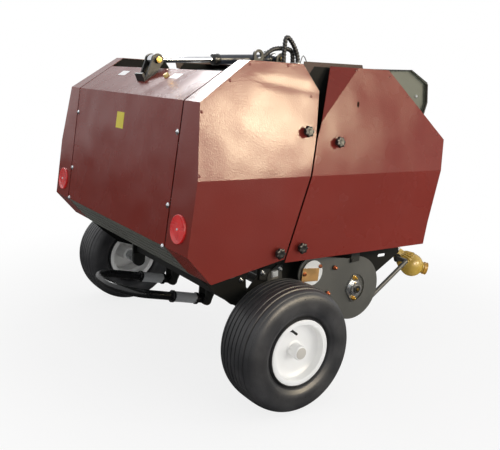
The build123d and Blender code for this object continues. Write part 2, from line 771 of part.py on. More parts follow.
with BuildPart() as hose_fittings:
    for points, y, foot in (
        (HOSE_A, HOSE_A_Y, EYE_TUBE_Z + EYE_TUBE / 2),
        (HOSE_B, HOSE_B_Y, FRAME_TOP + SHEET),
    ):
        start = points[0]
        heading = at(points[1][0], y, points[1][1]) - at(start[0], y, start[1])
        with BuildSketch(Plane(origin=at(start[0], y, start[1]), z_dir=heading)) as nut:
            RegularPolygon(RISER_R + 2, 6)
        extrude(nut.sketch, amount=-12)
        with BuildSketch(Plane(origin=at(start[0], y, foot))) as riser:
            Circle(RISER_R)
        extrude(riser.sketch, amount=start[1] - 9 - foot)
        with BuildSketch(Plane(origin=at(points[-1][0], y, FRAME_TOP + SHEET))) as port:
            RegularPolygon(RISER_R + 1, 6)
        extrude(port.sketch, amount=FITTING_TOP - FRAME_TOP - SHEET)
write(hose_fittings.part, "hose_fittings")

# Twine box: walls, floor and recessed ends, open above for its lid
LID_EDGE = BOX_OUTLINE[2]
with BuildPart() as twine_box:
    with BuildSketch(side(BOX_HALF)) as outline:
        Polygon(*BOX_OUTLINE, align=None)
        offset(amount=-BOX_T, mode=Mode.SUBTRACT)
    extrude(amount=2 * BOX_HALF)
    with BuildSketch(side(BOX_HALF - BOX_RIM)):
        Polygon(*BOX_OUTLINE, align=None)
    extrude(amount=BOX_T)
    with BuildSketch(side(-BOX_HALF + BOX_RIM + BOX_T)):
        Polygon(*BOX_OUTLINE, align=None)
    extrude(amount=BOX_T)
    with BuildSketch(side(BOX_HALF)):
        Polygon(
            (BOX_OUTLINE[0][0] - 1, BOX_OUTLINE[0][1] - BOX_T),
            (BOX_OUTLINE[1][0], BOX_OUTLINE[1][1] - BOX_T),
            (LID_EDGE[0] - BOX_T, LID_EDGE[1]),
            (LID_EDGE[0] + 20, LID_EDGE[1]),
            (LID_EDGE[0], LID_EDGE[1] + 80),
            (BOX_OUTLINE[0][0] - 1, BOX_OUTLINE[0][1] + 40),
            align=None,
        )
    extrude(amount=2 * BOX_HALF, mode=Mode.SUBTRACT)
    lug_foot = BOX_OUTLINE[0][1] - 30
    for hinge_y in (LID_HINGE_Y, -LID_HINGE_Y):
        for lug_y in (hinge_y + LID_BARREL / 2 + 1 + LID_LUG_T, hinge_y - LID_BARREL / 2 - 1):
            with BuildSketch(side(lug_y)):
                with Locations((LID_HINGE_X, LID_HINGE_Z)):
                    Circle(LID_BARREL_R)
                Polygon(
                    (LID_HINGE_X - LID_BARREL_R, LID_HINGE_Z),
                    (LID_HINGE_X + LID_BARREL_R, LID_HINGE_Z),
                    (LID_HINGE_X + LID_BARREL_R, BOX_OUTLINE[0][1] - 2 * BOX_T),
                    (BOX_OUTLINE[0][0] + 4, BOX_OUTLINE[0][1] - 2 * BOX_T),
                    (BOX_OUTLINE[0][0] + 4, lug_foot),
                    align=None,
                )
            extrude(amount=LID_LUG_T)
        with BuildSketch(side(hinge_y + LID_BARREL / 2 + 1 + LID_LUG_T)):
            with Locations((LID_HINGE_X, LID_HINGE_Z)):
                Circle(LID_PIN_R)
        extrude(amount=LID_BARREL + 2 + 2 * LID_LUG_T)
write(twine_box.part, "twine_box")

with BuildPart() as twine_lid:
    lift = 0.5
    rear, ridge, front = BOX_OUTLINE[0], BOX_OUTLINE[1], BOX_OUTLINE[2]
    with BuildSketch(side(BOX_HALF)):
        Polygon(
            (rear[0], rear[1] - BOX_T + lift),
            (ridge[0], ridge[1] - BOX_T + lift),
            (front[0] - BOX_T / 2, front[1] + lift),
            (front[0] + BOX_T / 2, front[1] + BOX_T + lift),
            (ridge[0] + 1, ridge[1] + lift),
            (rear[0], rear[1] + lift),
            align=None,
        )
    extrude(amount=2 * BOX_HALF)
    for hinge_y in (LID_HINGE_Y, -LID_HINGE_Y):
        with BuildSketch(side(hinge_y + LID_BARREL / 2)):
            with Locations((LID_HINGE_X, LID_HINGE_Z)):
                Circle(LID_BARREL_R)
            Polygon(
                (LID_HINGE_X, rear[1] - BOX_T + lift),
                (rear[0] + 4, rear[1] - BOX_T + lift),
                (rear[0] + 4, rear[1] + lift),
                (LID_HINGE_X, rear[1] + lift),
                align=None,
            )
            with Locations((LID_HINGE_X, LID_HINGE_Z)):
                Circle(LID_PIN_R + RUN_FIT, mode=Mode.SUBTRACT)
        extrude(amount=LID_BARREL)
write(twine_lid.part, "twine_lid")

# Pickup: side plates with spacers, reel, stripper bands, bearings and guard rods
PICKUP_BOLTS = ((317.0, 439.0), (290.0, 339.0))
DISC_PLACE = (205.0, 432.0)
DISC_COVER_R = 49.0
DISC_MARGIN = 13.0
with BuildPart() as pickup_plates:
    with BuildSketch(side(-PICKUP_PLATE_Y)):
        with Locations((REEL_X, REEL_Z)):
            Circle(PICKUP_PLATE_R)
        Polygon((REEL_X, 461), (REEL_X, REEL_Z - 60), (190, 372), (205, 494), align=None)
        with Locations(DISC_PLACE):
            Circle(DISC_COVER_R + DISC_MARGIN)
        with Locations((REEL_X, REEL_Z)):
            Circle(RECESS_R, mode=Mode.SUBTRACT)
    extrude(amount=PICKUP_PLATE_T)
    with BuildSketch(side(-PICKUP_PLATE_Y + RECESS_PLATE_T)):
        with Locations((REEL_X, REEL_Z)):
            Circle(RECESS_R + 8)
            Circle(REEL_SHAFT_R, mode=Mode.SUBTRACT)
    extrude(amount=RECESS_PLATE_T)
    with BuildSketch(side(-PLATE_Y - PLATE_T)):
        with Locations(*PICKUP_BOLTS, (420, 440)):
            Circle(12)
    extrude(amount=PICKUP_PLATE_Y - PLATE_Y - PLATE_T)
    with BuildSketch(side(-PICKUP_PLATE_Y - PICKUP_PLATE_T)):
        with Locations(*PICKUP_BOLTS):
            Circle(9)
    extrude(amount=7)
    with BuildSketch(side(-PICKUP_PLATE_Y - PICKUP_PLATE_T)):
        with Locations(DISC_PLACE):
            Circle(DISC_COVER_R)
    extrude(amount=4)
    stay_y = -PICKUP_PLATE_Y + STAY_R - 1
    stay = at(STAY_TOP[0], stay_y, STAY_TOP[1]) - at(STAY_FOOT[0], stay_y, STAY_FOOT[1])
    with BuildSketch(Plane(origin=at(STAY_FOOT[0], stay_y, STAY_FOOT[1]), z_dir=stay)):
        Circle(STAY_R)
    extrude(amount=stay.length)
    with BuildSketch(side(-PLATE_Y - PLATE_T)):
        with Locations(STAY_TOP):
            Circle(STAY_R)
    extrude(amount=-stay_y - PLATE_Y - PLATE_T)
    mirror(about=Plane.XZ)
write(pickup_plates.part, "pickup_plates")

with BuildPart() as pickup_reel:
    with BuildSketch(side(PLATE_Y - 12)):
        with Locations((REEL_X, REEL_Z)):
            Circle(REEL_TUBE_R)
    extrude(amount=2 * (PLATE_Y - 12))
    with BuildSketch(side(PLATE_Y - 12 - ROLLER_DISC_T)):
        with Locations((REEL_X, REEL_Z)):
            Circle(REEL_TUBE_R - ROLLER_WALL)
    extrude(amount=2 * (PLATE_Y - 12 - ROLLER_DISC_T), mode=Mode.SUBTRACT)
    shaft_end = PICKUP_PLATE_Y + PICKUP_PLATE_T + 24
    with BuildSketch(side(shaft_end)):
        with Locations((REEL_X, REEL_Z)):
            Circle(REEL_SHAFT_R - RUN_FIT)
    extrude(amount=2 * shaft_end)
    for row in range(TINE_ROWS):
        for tine in range(TINES):
            tine_y = (tine - (TINES - 1) / 2) * TINE_PITCH
            with BuildSketch(side(tine_y + TINE_T / 2)):
                with Locations(Location((REEL_X, REEL_Z, 0), (0, 0, row * 360 / TINE_ROWS + 20))):
                    with Locations(((REEL_TUBE_R - 4 + TINE_R) / 2, 0)):
                        Rectangle(TINE_R - REEL_TUBE_R + 4, TINE_T)
            extrude(amount=TINE_T)
write(pickup_reel.part, "pickup_reel")

BAND_TUBE_R = 12.0
BAND_TUBE_X = REEL_X - 152
with BuildPart() as pickup_bands:
    band_turn = radians(125)
    tip = (REEL_X + BAND_R * cos(band_turn), REEL_Z + BAND_R * sin(band_turn))
    toe = (tip[0], REEL_Z - BAND_R * sin(band_turn))
    for band in range(TINES + 1):
        band_y = (band - TINES / 2) * TINE_PITCH
        with BuildSketch(side(band_y + BAND_WIDTH / 2)):
            with BuildLine():
                Line((BAND_TUBE_X, REEL_Z + 3), tip)
                ThreePointArc(tip, (REEL_X + BAND_R, REEL_Z), toe)
                Line(toe, (BAND_TUBE_X, REEL_Z - 3))
                Line((BAND_TUBE_X, REEL_Z - 3), (BAND_TUBE_X, REEL_Z + 3))
            make_face()
            offset(amount=-BAND_T, mode=Mode.SUBTRACT)
        extrude(amount=BAND_WIDTH)
    with BuildSketch(side(PLATE_Y)):
        with Locations((BAND_TUBE_X, REEL_Z)):
            Circle(BAND_TUBE_R)
    extrude(amount=2 * PLATE_Y)
write(pickup_bands.part, "pickup_bands")

with BuildPart() as reel_bearings:
    with BuildSketch(side(-PICKUP_PLATE_Y)):
        with Locations((REEL_X, REEL_Z)):
            Circle(36)
            with Locations((0, 42), (0, -42)):
                Circle(13)
        make_hull()
        with Locations((REEL_X, REEL_Z)):
            Circle(REEL_SHAFT_R, mode=Mode.SUBTRACT)
    extrude(amount=8)
    with BuildSketch(side(-PICKUP_PLATE_Y - 8)):
        with Locations((REEL_X, REEL_Z)):
            Circle(27)
            Circle(REEL_SHAFT_R, mode=Mode.SUBTRACT)
    extrude(amount=16)
    mirror(about=Plane.XZ)
write(reel_bearings.part, "reel_bearings")

# Line of the parked drive shaft
TURN = radians(SHAFT_TURN)
DROP = radians(SHAFT_DROP)
SHAFT_DIR = (cos(TURN) * cos(DROP), sin(TURN) * cos(DROP), -sin(DROP))
SHAFT_START = at(DRIVE_JOINT_X, 0, GEARBOX_Z)


def shaft_plane(distance):
    """Plane across the drive shaft at a distance from its joint."""
    return Plane(origin=SHAFT_START + Vector(*SHAFT_DIR) * distance, z_dir=SHAFT_DIR)


def fork_plane(offset):
    """Upright plane along the drive shaft, moved sideways from its joint."""
    across = Vector(-sin(TURN), cos(TURN), 0)
    return Plane(origin=SHAFT_START + across * offset, x_dir=(cos(TURN), sin(TURN), 0), z_dir=across)


# Gearbox with the cross shaft to the chain side and the fork that carries the drive shaft
KNUCKLE_R = 16.0
KNUCKLE_HALF = 16.0
KNUCKLE_PIN_R = 8.0
FORK_T = 9.0
FORK_REACH = 33.0
GEARBOX_H = 160.0
GEARBOX_SEAT = (90.0, 64.0)
with BuildPart() as gearbox:
    with Locations(at(GEARBOX_X, 0, GEARBOX_Z)):
        Box(120, 150, GEARBOX_H)
    fillet(gearbox.edges().filter_by(Axis.X), 22)
    seat_low = DRAWBAR_Z + DRAWBAR_SIZE / 2
    seat_high = GEARBOX_Z - GEARBOX_H / 2
    with Locations(at(GEARBOX_X, 0, (seat_low + seat_high) / 2)):
        Box(*GEARBOX_SEAT, seat_high - seat_low)
    with BuildSketch(side(PLATE_Y)):
        with Locations((GEARBOX_X, GEARBOX_Z)):
            Circle(22)
    extrude(amount=PLATE_Y - 60)
    with BuildSketch(Plane(origin=at(GEARBOX_X + 60, 0, GEARBOX_Z), z_dir=(1, 0, 0))):
        Circle(30)
    extrude(amount=20)
    for offset in (KNUCKLE_HALF + 2, -KNUCKLE_HALF - 2 - FORK_T):
        with BuildSketch(fork_plane(offset)):
            with Locations((-FORK_REACH / 2, 0)):
                Rectangle(FORK_REACH, 2 * KNUCKLE_R)
            Circle(KNUCKLE_R)
        extrude(amount=FORK_T)
    with BuildSketch(fork_plane(-KNUCKLE_HALF - 2)):
        with Locations((-FORK_REACH + 6, 0)):
            Rectangle(12, 2 * KNUCKLE_R)
    extrude(amount=2 * (KNUCKLE_HALF + 2))
    with BuildSketch(fork_plane(-KNUCKLE_HALF - 2 - FORK_T)):
        Circle(KNUCKLE_PIN_R)
    extrude(amount=2 * (KNUCKLE_HALF + 2 + FORK_T))
write(gearbox.part, "gearbox")

# Drawbar with its eye and the rest for the parked drive shaft
with BuildPart() as drawbar:
    bar_rear = FRONT_TUBE_X + FRONT_TUBE_SIZE / 2
    bar_front = HITCH_X - HITCH_EYE_R + 8
    with BuildSketch(Plane(origin=at(bar_rear, 0, DRAWBAR_Z), x_dir=(0, 1, 0), z_dir=(1, 0, 0))):
        Rectangle(DRAWBAR_SIZE, DRAWBAR_SIZE)
        Rectangle(DRAWBAR_SIZE - 12, DRAWBAR_SIZE - 12, mode=Mode.SUBTRACT)
    extrude(amount=bar_front - bar_rear)
    with BuildSketch(Plane(origin=at(HITCH_X, 0, DRAWBAR_Z - HITCH_T / 2))):
        Circle(HITCH_EYE_R)
        with Locations((-HITCH_EYE_R, 0)):
            Rectangle(2 * HITCH_EYE_R, DRAWBAR_SIZE)
        Circle(HITCH_BORE_R, mode=Mode.SUBTRACT)
    extrude(amount=HITCH_T)
    across = Vector(-sin(TURN), cos(TURN), 0)
    below = Vector(-cos(TURN) * sin(DROP), -sin(TURN) * sin(DROP), -cos(DROP))
    cradle = SHAFT_START + Vector(*SHAFT_DIR) * REST_PLACE + below * (SHAFT_TUBE_R + REST_R + REST_GAP)
    reach = (-DRAWBAR_SIZE / 2 + 2 - cradle.Y) / across.Y
    with BuildSketch(Plane(origin=cradle + across * reach, z_dir=across * -1)):
        Circle(REST_R)
    extrude(amount=reach + SHAFT_TUBE_R)
write(drawbar.part, "drawbar")

# Parking stand: sleeve beside the drawbar and leg with its foot
JACK_Y = DRAWBAR_SIZE / 2 + JACK_SLEEVE_R + 8
CRANK_R = 7.0
CRANK_REACH = 95.0
with BuildPart() as jack_sleeve:
    with BuildSketch(Plane(origin=at(JACK_X, JACK_Y, DRAWBAR_Z - 110))):
        Circle(JACK_SLEEVE_R)
        Circle(JACK_LEG_R + RUN_FIT, mode=Mode.SUBTRACT)
    extrude(amount=360)
    with BuildSketch(Plane(origin=at(JACK_X, JACK_Y, DRAWBAR_Z + 250))):
        Circle(JACK_SLEEVE_R + 4)
    extrude(amount=14)
    with BuildSketch(Plane(origin=at(JACK_X, DRAWBAR_SIZE / 2, DRAWBAR_Z), x_dir=(1, 0, 0), z_dir=(0, 1, 0))):
        Rectangle(70, 60)
    extrude(amount=JACK_Y - DRAWBAR_SIZE / 2)
    with BuildSketch(Plane(origin=at(JACK_X, JACK_Y, DRAWBAR_Z - 110))):
        Circle(JACK_LEG_R + RUN_FIT)
    extrude(amount=350, mode=Mode.SUBTRACT)
    crank_z = DRAWBAR_Z + 264
    with BuildSketch(Plane(origin=at(JACK_X, JACK_Y, crank_z))):
        Circle(CRANK_R)
    extrude(amount=30)
    with BuildSketch(Plane(origin=at(JACK_X, JACK_Y - CRANK_R, crank_z + 30 - CRANK_R), z_dir=(0, 1, 0))):
        Circle(CRANK_R)
    extrude(amount=CRANK_REACH + CRANK_R)
    with BuildSketch(Plane(origin=at(JACK_X, JACK_Y + CRANK_REACH, crank_z + 30 - 2 * CRANK_R))):
        Circle(CRANK_R)
    extrude(amount=40)
    with BuildSketch(Plane(origin=at(JACK_X, JACK_Y + CRANK_REACH, crank_z + 70 - 2 * CRANK_R))):
        Circle(14)
    extrude(amount=70)
write(jack_sleeve.part, "jack_sleeve")

JACK_TRAVEL = 220.0
with BuildPart() as jack_leg:
    with BuildSketch(Plane(origin=at(JACK_X, JACK_Y, 0))):
        Circle(JACK_FOOT_R)
    extrude(amount=8)
    with BuildSketch(Plane(origin=at(JACK_X, JACK_Y, 0))):
        Circle(JACK_LEG_R)
    extrude(amount=DRAWBAR_Z + 10)
write(jack_leg.part, "jack_leg")

# Drive shaft, parked: knuckle at the gearbox, guard tube with its ribbed cone and dome, and the yoke
# that turns in the dome, bent up a little from the line of the shaft
GUARD_START = 46.0
NECK_START = 378.0
CONE_START = 398.0
NECK_R = 29.0
DOME_PLACE = 465.0
DOME_R = 55.0
DOME_REAR = 20.0
GUARD_WALL = 4.0
INNER_R = 15.0
YOKE_TURN = -37.7
YOKE_DROP = 11.5
YOKE_START = 14.0
YOKE_R = 23.0
YOKE_FIT = 0.3
COLLAR_START = 58.0
COLLAR_R = 28.0
YOKE_END = 74.0
YOKE_BORE_R = 17.5
YOKE_BORE_LENGTH = 22.0
DOME_CENTRE = SHAFT_START + Vector(*SHAFT_DIR) * DOME_PLACE
YOKE_DIR = (
    cos(radians(YOKE_TURN)) * cos(radians(YOKE_DROP)),
    sin(radians(YOKE_TURN)) * cos(radians(YOKE_DROP)),
    -sin(radians(YOKE_DROP)),
)


def yoke_plane(distance):
    """Plane across the yoke at a distance from the middle of the dome."""
    return Plane(origin=DOME_CENTRE + Vector(*YOKE_DIR) * distance, z_dir=YOKE_DIR)


def dome_line(radius):
    """Arc of the dome from behind its middle round to the shaft's axis."""
    behind = DOME_PLACE - DOME_REAR
    start = (behind, (radius**2 - DOME_REAR**2) ** 0.5)
    ThreePointArc(start, (DOME_PLACE + radius * sin(radians(45)), radius * cos(radians(45))), (DOME_PLACE + radius, 0))
    return start


SHAFT_SECTION = Plane(origin=SHAFT_START, x_dir=SHAFT_DIR, z_dir=(-sin(TURN), cos(TURN), 0))
SHAFT_AXIS = Axis(SHAFT_START, SHAFT_DIR)
with BuildPart() as shaft_guard:
    with BuildSketch(SHAFT_SECTION):
        with BuildLine():
            start = dome_line(DOME_R)
            Polyline(
                start,
                (CONE_START, NECK_R + 1),
                (CONE_START, NECK_R),
                (NECK_START, NECK_R),
                (NECK_START, SHAFT_TUBE_R),
                (GUARD_START, SHAFT_TUBE_R),
                (GUARD_START, 0),
                (DOME_PLACE + DOME_R, 0),
            )
        make_face()
    revolve(axis=SHAFT_AXIS)
    with BuildSketch(SHAFT_SECTION):
        with BuildLine():
            start = dome_line(DOME_R - GUARD_WALL)
            Polyline(
                start,
                (CONE_START + GUARD_WALL, NECK_R - GUARD_WALL),
                (CONE_START + GUARD_WALL, 0),
                (DOME_PLACE + DOME_R - GUARD_WALL, 0),
            )
        make_face()
    revolve(axis=SHAFT_AXIS, mode=Mode.SUBTRACT)
    with BuildSketch(yoke_plane(0)):
        Circle(YOKE_R + YOKE_FIT)
    extrude(amount=DOME_R + 10, mode=Mode.SUBTRACT)
    with BuildSketch(shaft_plane(GUARD_START + 8)):
        Circle(INNER_R + RUN_FIT)
    extrude(amount=CONE_START - GUARD_START, mode=Mode.SUBTRACT)
    with BuildSketch(shaft_plane(0)):
        Circle(12)
    extrude(amount=GUARD_START)
    with BuildSketch(fork_plane(-KNUCKLE_HALF)):
        Circle(KNUCKLE_R - 1)
    extrude(amount=2 * KNUCKLE_HALF)
    with BuildSketch(fork_plane(-KNUCKLE_HALF)):
        Circle(KNUCKLE_PIN_R + RUN_FIT)
    extrude(amount=2 * KNUCKLE_HALF, mode=Mode.SUBTRACT)
write(shaft_guard.part, "shaft_guard")

with BuildPart() as inner_shaft:
    with BuildSketch(shaft_plane(GUARD_START + 10)):
        Circle(INNER_R)
    extrude(amount=CONE_START + 20 - GUARD_START)
write(inner_shaft.part, "inner_shaft")

with BuildPart() as shaft_yoke:
    with BuildSketch(yoke_plane(YOKE_START)):
        Circle(YOKE_R)
    extrude(amount=COLLAR_START - YOKE_START)
    with BuildSketch(yoke_plane(COLLAR_START)):
        Circle(COLLAR_R)
    extrude(amount=YOKE_END - COLLAR_START)
    with BuildSketch(yoke_plane(YOKE_END)):
        Circle(YOKE_BORE_R)
    extrude(amount=-YOKE_BORE_LENGTH, mode=Mode.SUBTRACT)
write(shaft_yoke.part, "shaft_yoke")

# Lift cylinder: barrel from the front pin, rod to the ears
LIFT_ANGLE = atan2(ROD_PIN_Z - BARREL_PIN_Z, ROD_PIN_X - BARREL_PIN_X)
LIFT_DIR = (cos(LIFT_ANGLE), 0, sin(LIFT_ANGLE))
LIFT_LENGTH = hypot(ROD_PIN_X - BARREL_PIN_X, ROD_PIN_Z - BARREL_PIN_Z)


def lift_plane(distance):
    """Plane across the lift cylinder at a distance from its front pin."""
    start = at(BARREL_PIN_X, 0, BARREL_PIN_Z)
    return Plane(origin=start + Vector(*LIFT_DIR) * distance, x_dir=(0, 1, 0), z_dir=LIFT_DIR)


with BuildPart() as cylinder_barrel:
    with BuildSketch(side(EYE_WIDTH / 2)):
        with Locations((BARREL_PIN_X, BARREL_PIN_Z)):
            Circle(EYE_R)
    extrude(amount=EYE_WIDTH)
    with BuildSketch(lift_plane(8)):
        Circle(15)
    extrude(amount=34)
    with BuildSketch(lift_plane(38)):
        Circle(BARREL_R)
    extrude(amount=BARREL_LENGTH - 38)
    with BuildSketch(lift_plane(36)):
        Circle(ROD_R + RUN_FIT)
    extrude(amount=BARREL_LENGTH, mode=Mode.SUBTRACT)
    with BuildSketch(side(EYE_WIDTH)):
        with Locations((BARREL_PIN_X, BARREL_PIN_Z)):
            Circle(LIFT_PIN_R + RUN_FIT)
    extrude(amount=2 * EYE_WIDTH, mode=Mode.SUBTRACT)
write(cylinder_barrel.part, "cylinder_barrel")

with BuildPart() as cylinder_rod:
    with BuildSketch(side(EYE_WIDTH / 2)):
        with Locations((ROD_PIN_X, ROD_PIN_Z)):
            Circle(EYE_R)
    extrude(amount=EYE_WIDTH)
    with BuildSketch(lift_plane(LIFT_LENGTH - 50)):
        Circle(ROD_R)
    extrude(amount=50 - 8)
    with BuildSketch(lift_plane(250)):
        Circle(ROD_R)
    extrude(amount=LIFT_LENGTH - 300)
    with BuildSketch(side(EYE_WIDTH)):
        with Locations((ROD_PIN_X, ROD_PIN_Z)):
            Circle(LIFT_PIN_R)
    extrude(amount=2 * EYE_WIDTH, mode=Mode.SUBTRACT)
write(cylinder_rod.part, "cylinder_rod")

# Bale ramp: a bent tube on two hinge lugs under the axle beam
RISE = radians(RAMP_RISE)
RAMP_DIR = (-cos(RISE), 0, sin(RISE))
ramp_frame = Plane(origin=at(RAMP_HINGE_X, 0, RAMP_HINGE_Z), x_dir=RAMP_DIR, z_dir=(sin(RISE), 0, cos(RISE)))
with BuildPart() as ramp_loop:
    with BuildLine(ramp_frame) as ramp_path:
        bend = RAMP_HALF - 20
        straight = RAMP_REACH - bend
        Line((0, RAMP_HALF), (straight, RAMP_HALF))
        RadiusArc((straight, RAMP_HALF), (RAMP_REACH, RAMP_HALF - bend), bend)
        Line((RAMP_REACH, RAMP_HALF - bend), (RAMP_REACH, -RAMP_HALF + bend))
        RadiusArc((RAMP_REACH, -RAMP_HALF + bend), (straight, -RAMP_HALF), bend)
        Line((straight, -RAMP_HALF), (0, -RAMP_HALF))
    with BuildSketch(Plane(origin=ramp_path.line @ 0, z_dir=ramp_path.line % 0)):
        Circle(RAMP_TUBE_R)
    sweep()
    for boss_y in (RAMP_HALF, -RAMP_HALF):
        with BuildSketch(side(boss_y + 20)):
            with Locations((RAMP_HINGE_X, RAMP_HINGE_Z)):
                Circle(RAMP_TUBE_R + 3)
        extrude(amount=40)
        with BuildSketch(side(boss_y + 21)):
            with Locations((RAMP_HINGE_X, RAMP_HINGE_Z)):
                Circle(8 + RUN_FIT)
        extrude(amount=42, mode=Mode.SUBTRACT)
write(ramp_loop.part, "ramp_loop")

with BuildPart() as ramp_lugs:
    for boss_y in (RAMP_HALF, -RAMP_HALF):
        for lug_y in (boss_y + 31, boss_y - 23):
            with BuildSketch(side(lug_y)):
                with Locations((RAMP_HINGE_X, RAMP_HINGE_Z)):
                    Circle(18)
                Polygon(
                    (RAMP_HINGE_X - 10, RAMP_HINGE_Z),
                    (RAMP_HINGE_X + 18, RAMP_HINGE_Z),
                    (20, AXLE_BEAM_Z - AXLE_BEAM / 2),
                    (-28, AXLE_BEAM_Z - AXLE_BEAM / 2),
                    align=None,
                )
            extrude(amount=8)
        with BuildSketch(side(boss_y + 31)):
            with Locations((RAMP_HINGE_X, RAMP_HINGE_Z)):
                Circle(8)
        extrude(amount=62)
write(ramp_lugs.part, "ramp_lugs")
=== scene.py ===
"""Dresses the mini round baler: a finish for every piece of its frame, and the modelled pieces over it.

Lengths are metres. Places along the machine are written from the wheel axle, as X ahead of it,
Y to the left of the middle and Z above the ground, and place() turns them into the frame's own.
"""
import json
from math import cos, pi, radians, sin, tan, tau

import bmesh
import bpy
import numpy as np
from bpy.props import FloatProperty, FloatVectorProperty, IntProperty, PointerProperty
from mathutils import Matrix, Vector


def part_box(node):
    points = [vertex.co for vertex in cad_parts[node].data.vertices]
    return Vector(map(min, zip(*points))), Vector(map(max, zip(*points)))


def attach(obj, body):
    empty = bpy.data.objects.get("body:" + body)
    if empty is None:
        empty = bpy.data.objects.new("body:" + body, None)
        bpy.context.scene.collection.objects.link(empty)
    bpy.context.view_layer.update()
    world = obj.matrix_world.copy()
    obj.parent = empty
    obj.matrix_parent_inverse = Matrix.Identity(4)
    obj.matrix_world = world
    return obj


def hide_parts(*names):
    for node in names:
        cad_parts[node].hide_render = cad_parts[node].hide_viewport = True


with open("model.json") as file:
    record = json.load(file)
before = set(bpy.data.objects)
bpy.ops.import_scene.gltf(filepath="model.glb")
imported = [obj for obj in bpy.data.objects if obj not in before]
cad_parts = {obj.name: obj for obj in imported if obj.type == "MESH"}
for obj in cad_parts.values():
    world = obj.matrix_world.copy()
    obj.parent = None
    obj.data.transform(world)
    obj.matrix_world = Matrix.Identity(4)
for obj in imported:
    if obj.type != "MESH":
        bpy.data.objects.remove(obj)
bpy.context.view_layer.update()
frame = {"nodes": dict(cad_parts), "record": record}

bl_info = {
    "name": "Mini Round Baler",
    "version": (1, 0, 0),
    "blender": (4, 5, 0),
    "location": "3D View > Sidebar > Baler",
    "description": "Builds the finishes and the modelled pieces of a small towed round baler",
    "category": "Object",
}


def corners(node):
    """Lowest and highest corner of a node's box."""
    return [np.array(corner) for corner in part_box(node)]


def middle(node):
    """Middle of a node's box."""
    low, high = corners(node)
    return (low + high) / 2


AXLE = middle("tyre_right")
AXLE_X = AXLE[0]
LEAN = radians(12.4)
FOLD_Z = 0.814
SHIELD_Y = 0.623
MERGE_DISTANCE = 1e-6
RIGHT, LEFT = -1, 1

# Corners of the tailgate's sheets in the side view
TAIL_FOOT = (-0.284, 0.469)
TAIL_BACK = (-0.377, 0.571)
TAIL_SHOULDER = (-0.321, 1.055)
TAIL_TOP_REAR = (-0.120, 1.194)


def place(x, y, z):
    """Point in the frame from its place ahead of the axle, its side and its height."""
    return np.array([AXLE_X + x, y, z])


def shield_y(z):
    """Distance of the shields' outer face from the middle at height z.

    It is the same up to the fold, and above it shrinks with the tangent of the lean.
    """
    return SHIELD_Y - max(0.0, z - FOLD_Z) * tan(LEAN)


def on_shield(x, z, hand):
    """Point on a shield's outer face, and the direction out of the sheet there."""
    lean = LEAN if z > FOLD_Z else 0.0
    return place(x, hand * shield_y(z), z), (0, hand * cos(lean), sin(lean))


def unit(v):
    """Vectors scaled to length one along the last axis."""
    v = np.asarray(v, float)
    return v / np.linalg.norm(v, axis=-1, keepdims=True)


def axes_along(direction):
    """Three square axes as columns, the third along direction, the first level where that can be."""
    z = unit(direction)
    hint = (0, 0, 1) if abs(z[2]) <= 0.98 else (1, 0, 0)
    x = unit(np.cross(hint, z))
    return np.stack([x, np.cross(z, x), z], axis=-1)


def side_axes(hand):
    """Axes of a plate that stands along the machine, as columns: ahead, up, and out to its own side."""
    return np.stack([(1, 0, 0), (0, 0, 1), (0, hand, 0)], axis=-1)


# Meshes

def new_mesh(name, points, faces, sharp=35.0, closed=True):
    """Object from an array of points and a list of faces, with doubles merged and normals turned outwards."""
    mesh = bpy.data.meshes.new(name)
    spots = np.asarray(points, float).reshape(-1, 3)
    mesh.from_pydata(spots.tolist(), [], [list(map(int, f)) for f in faces])
    work = bmesh.new()
    work.from_mesh(mesh)
    bmesh.ops.remove_doubles(work, verts=work.verts, dist=MERGE_DISTANCE)
    bmesh.ops.dissolve_degenerate(work, edges=work.edges, dist=MERGE_DISTANCE / 10)
    if closed:
        bmesh.ops.recalc_face_normals(work, faces=work.faces)
    work.to_mesh(mesh)
    work.free()
    mesh.shade_smooth()
    mesh.set_sharp_from_angle(angle=radians(sharp))
    piece = bpy.data.objects.new(name, mesh)
    bpy.context.collection.objects.link(piece)
    return piece


def lattice(rows, columns, wrap_rows=False, wrap_columns=False):
    """Quads that join a grid of points numbered row by row, closed round either way on request."""
    a = np.arange(rows if wrap_rows else rows - 1)[:, None]
    b = np.arange(columns if wrap_columns else columns - 1)[None, :]
    a2, b2 = (a + 1) % rows, (b + 1) % columns
    quads = np.stack([a * columns + b, a2 * columns + b, a2 * columns + b2, a * columns + b2], axis=-1)
    return quads.reshape(-1, 4).tolist()


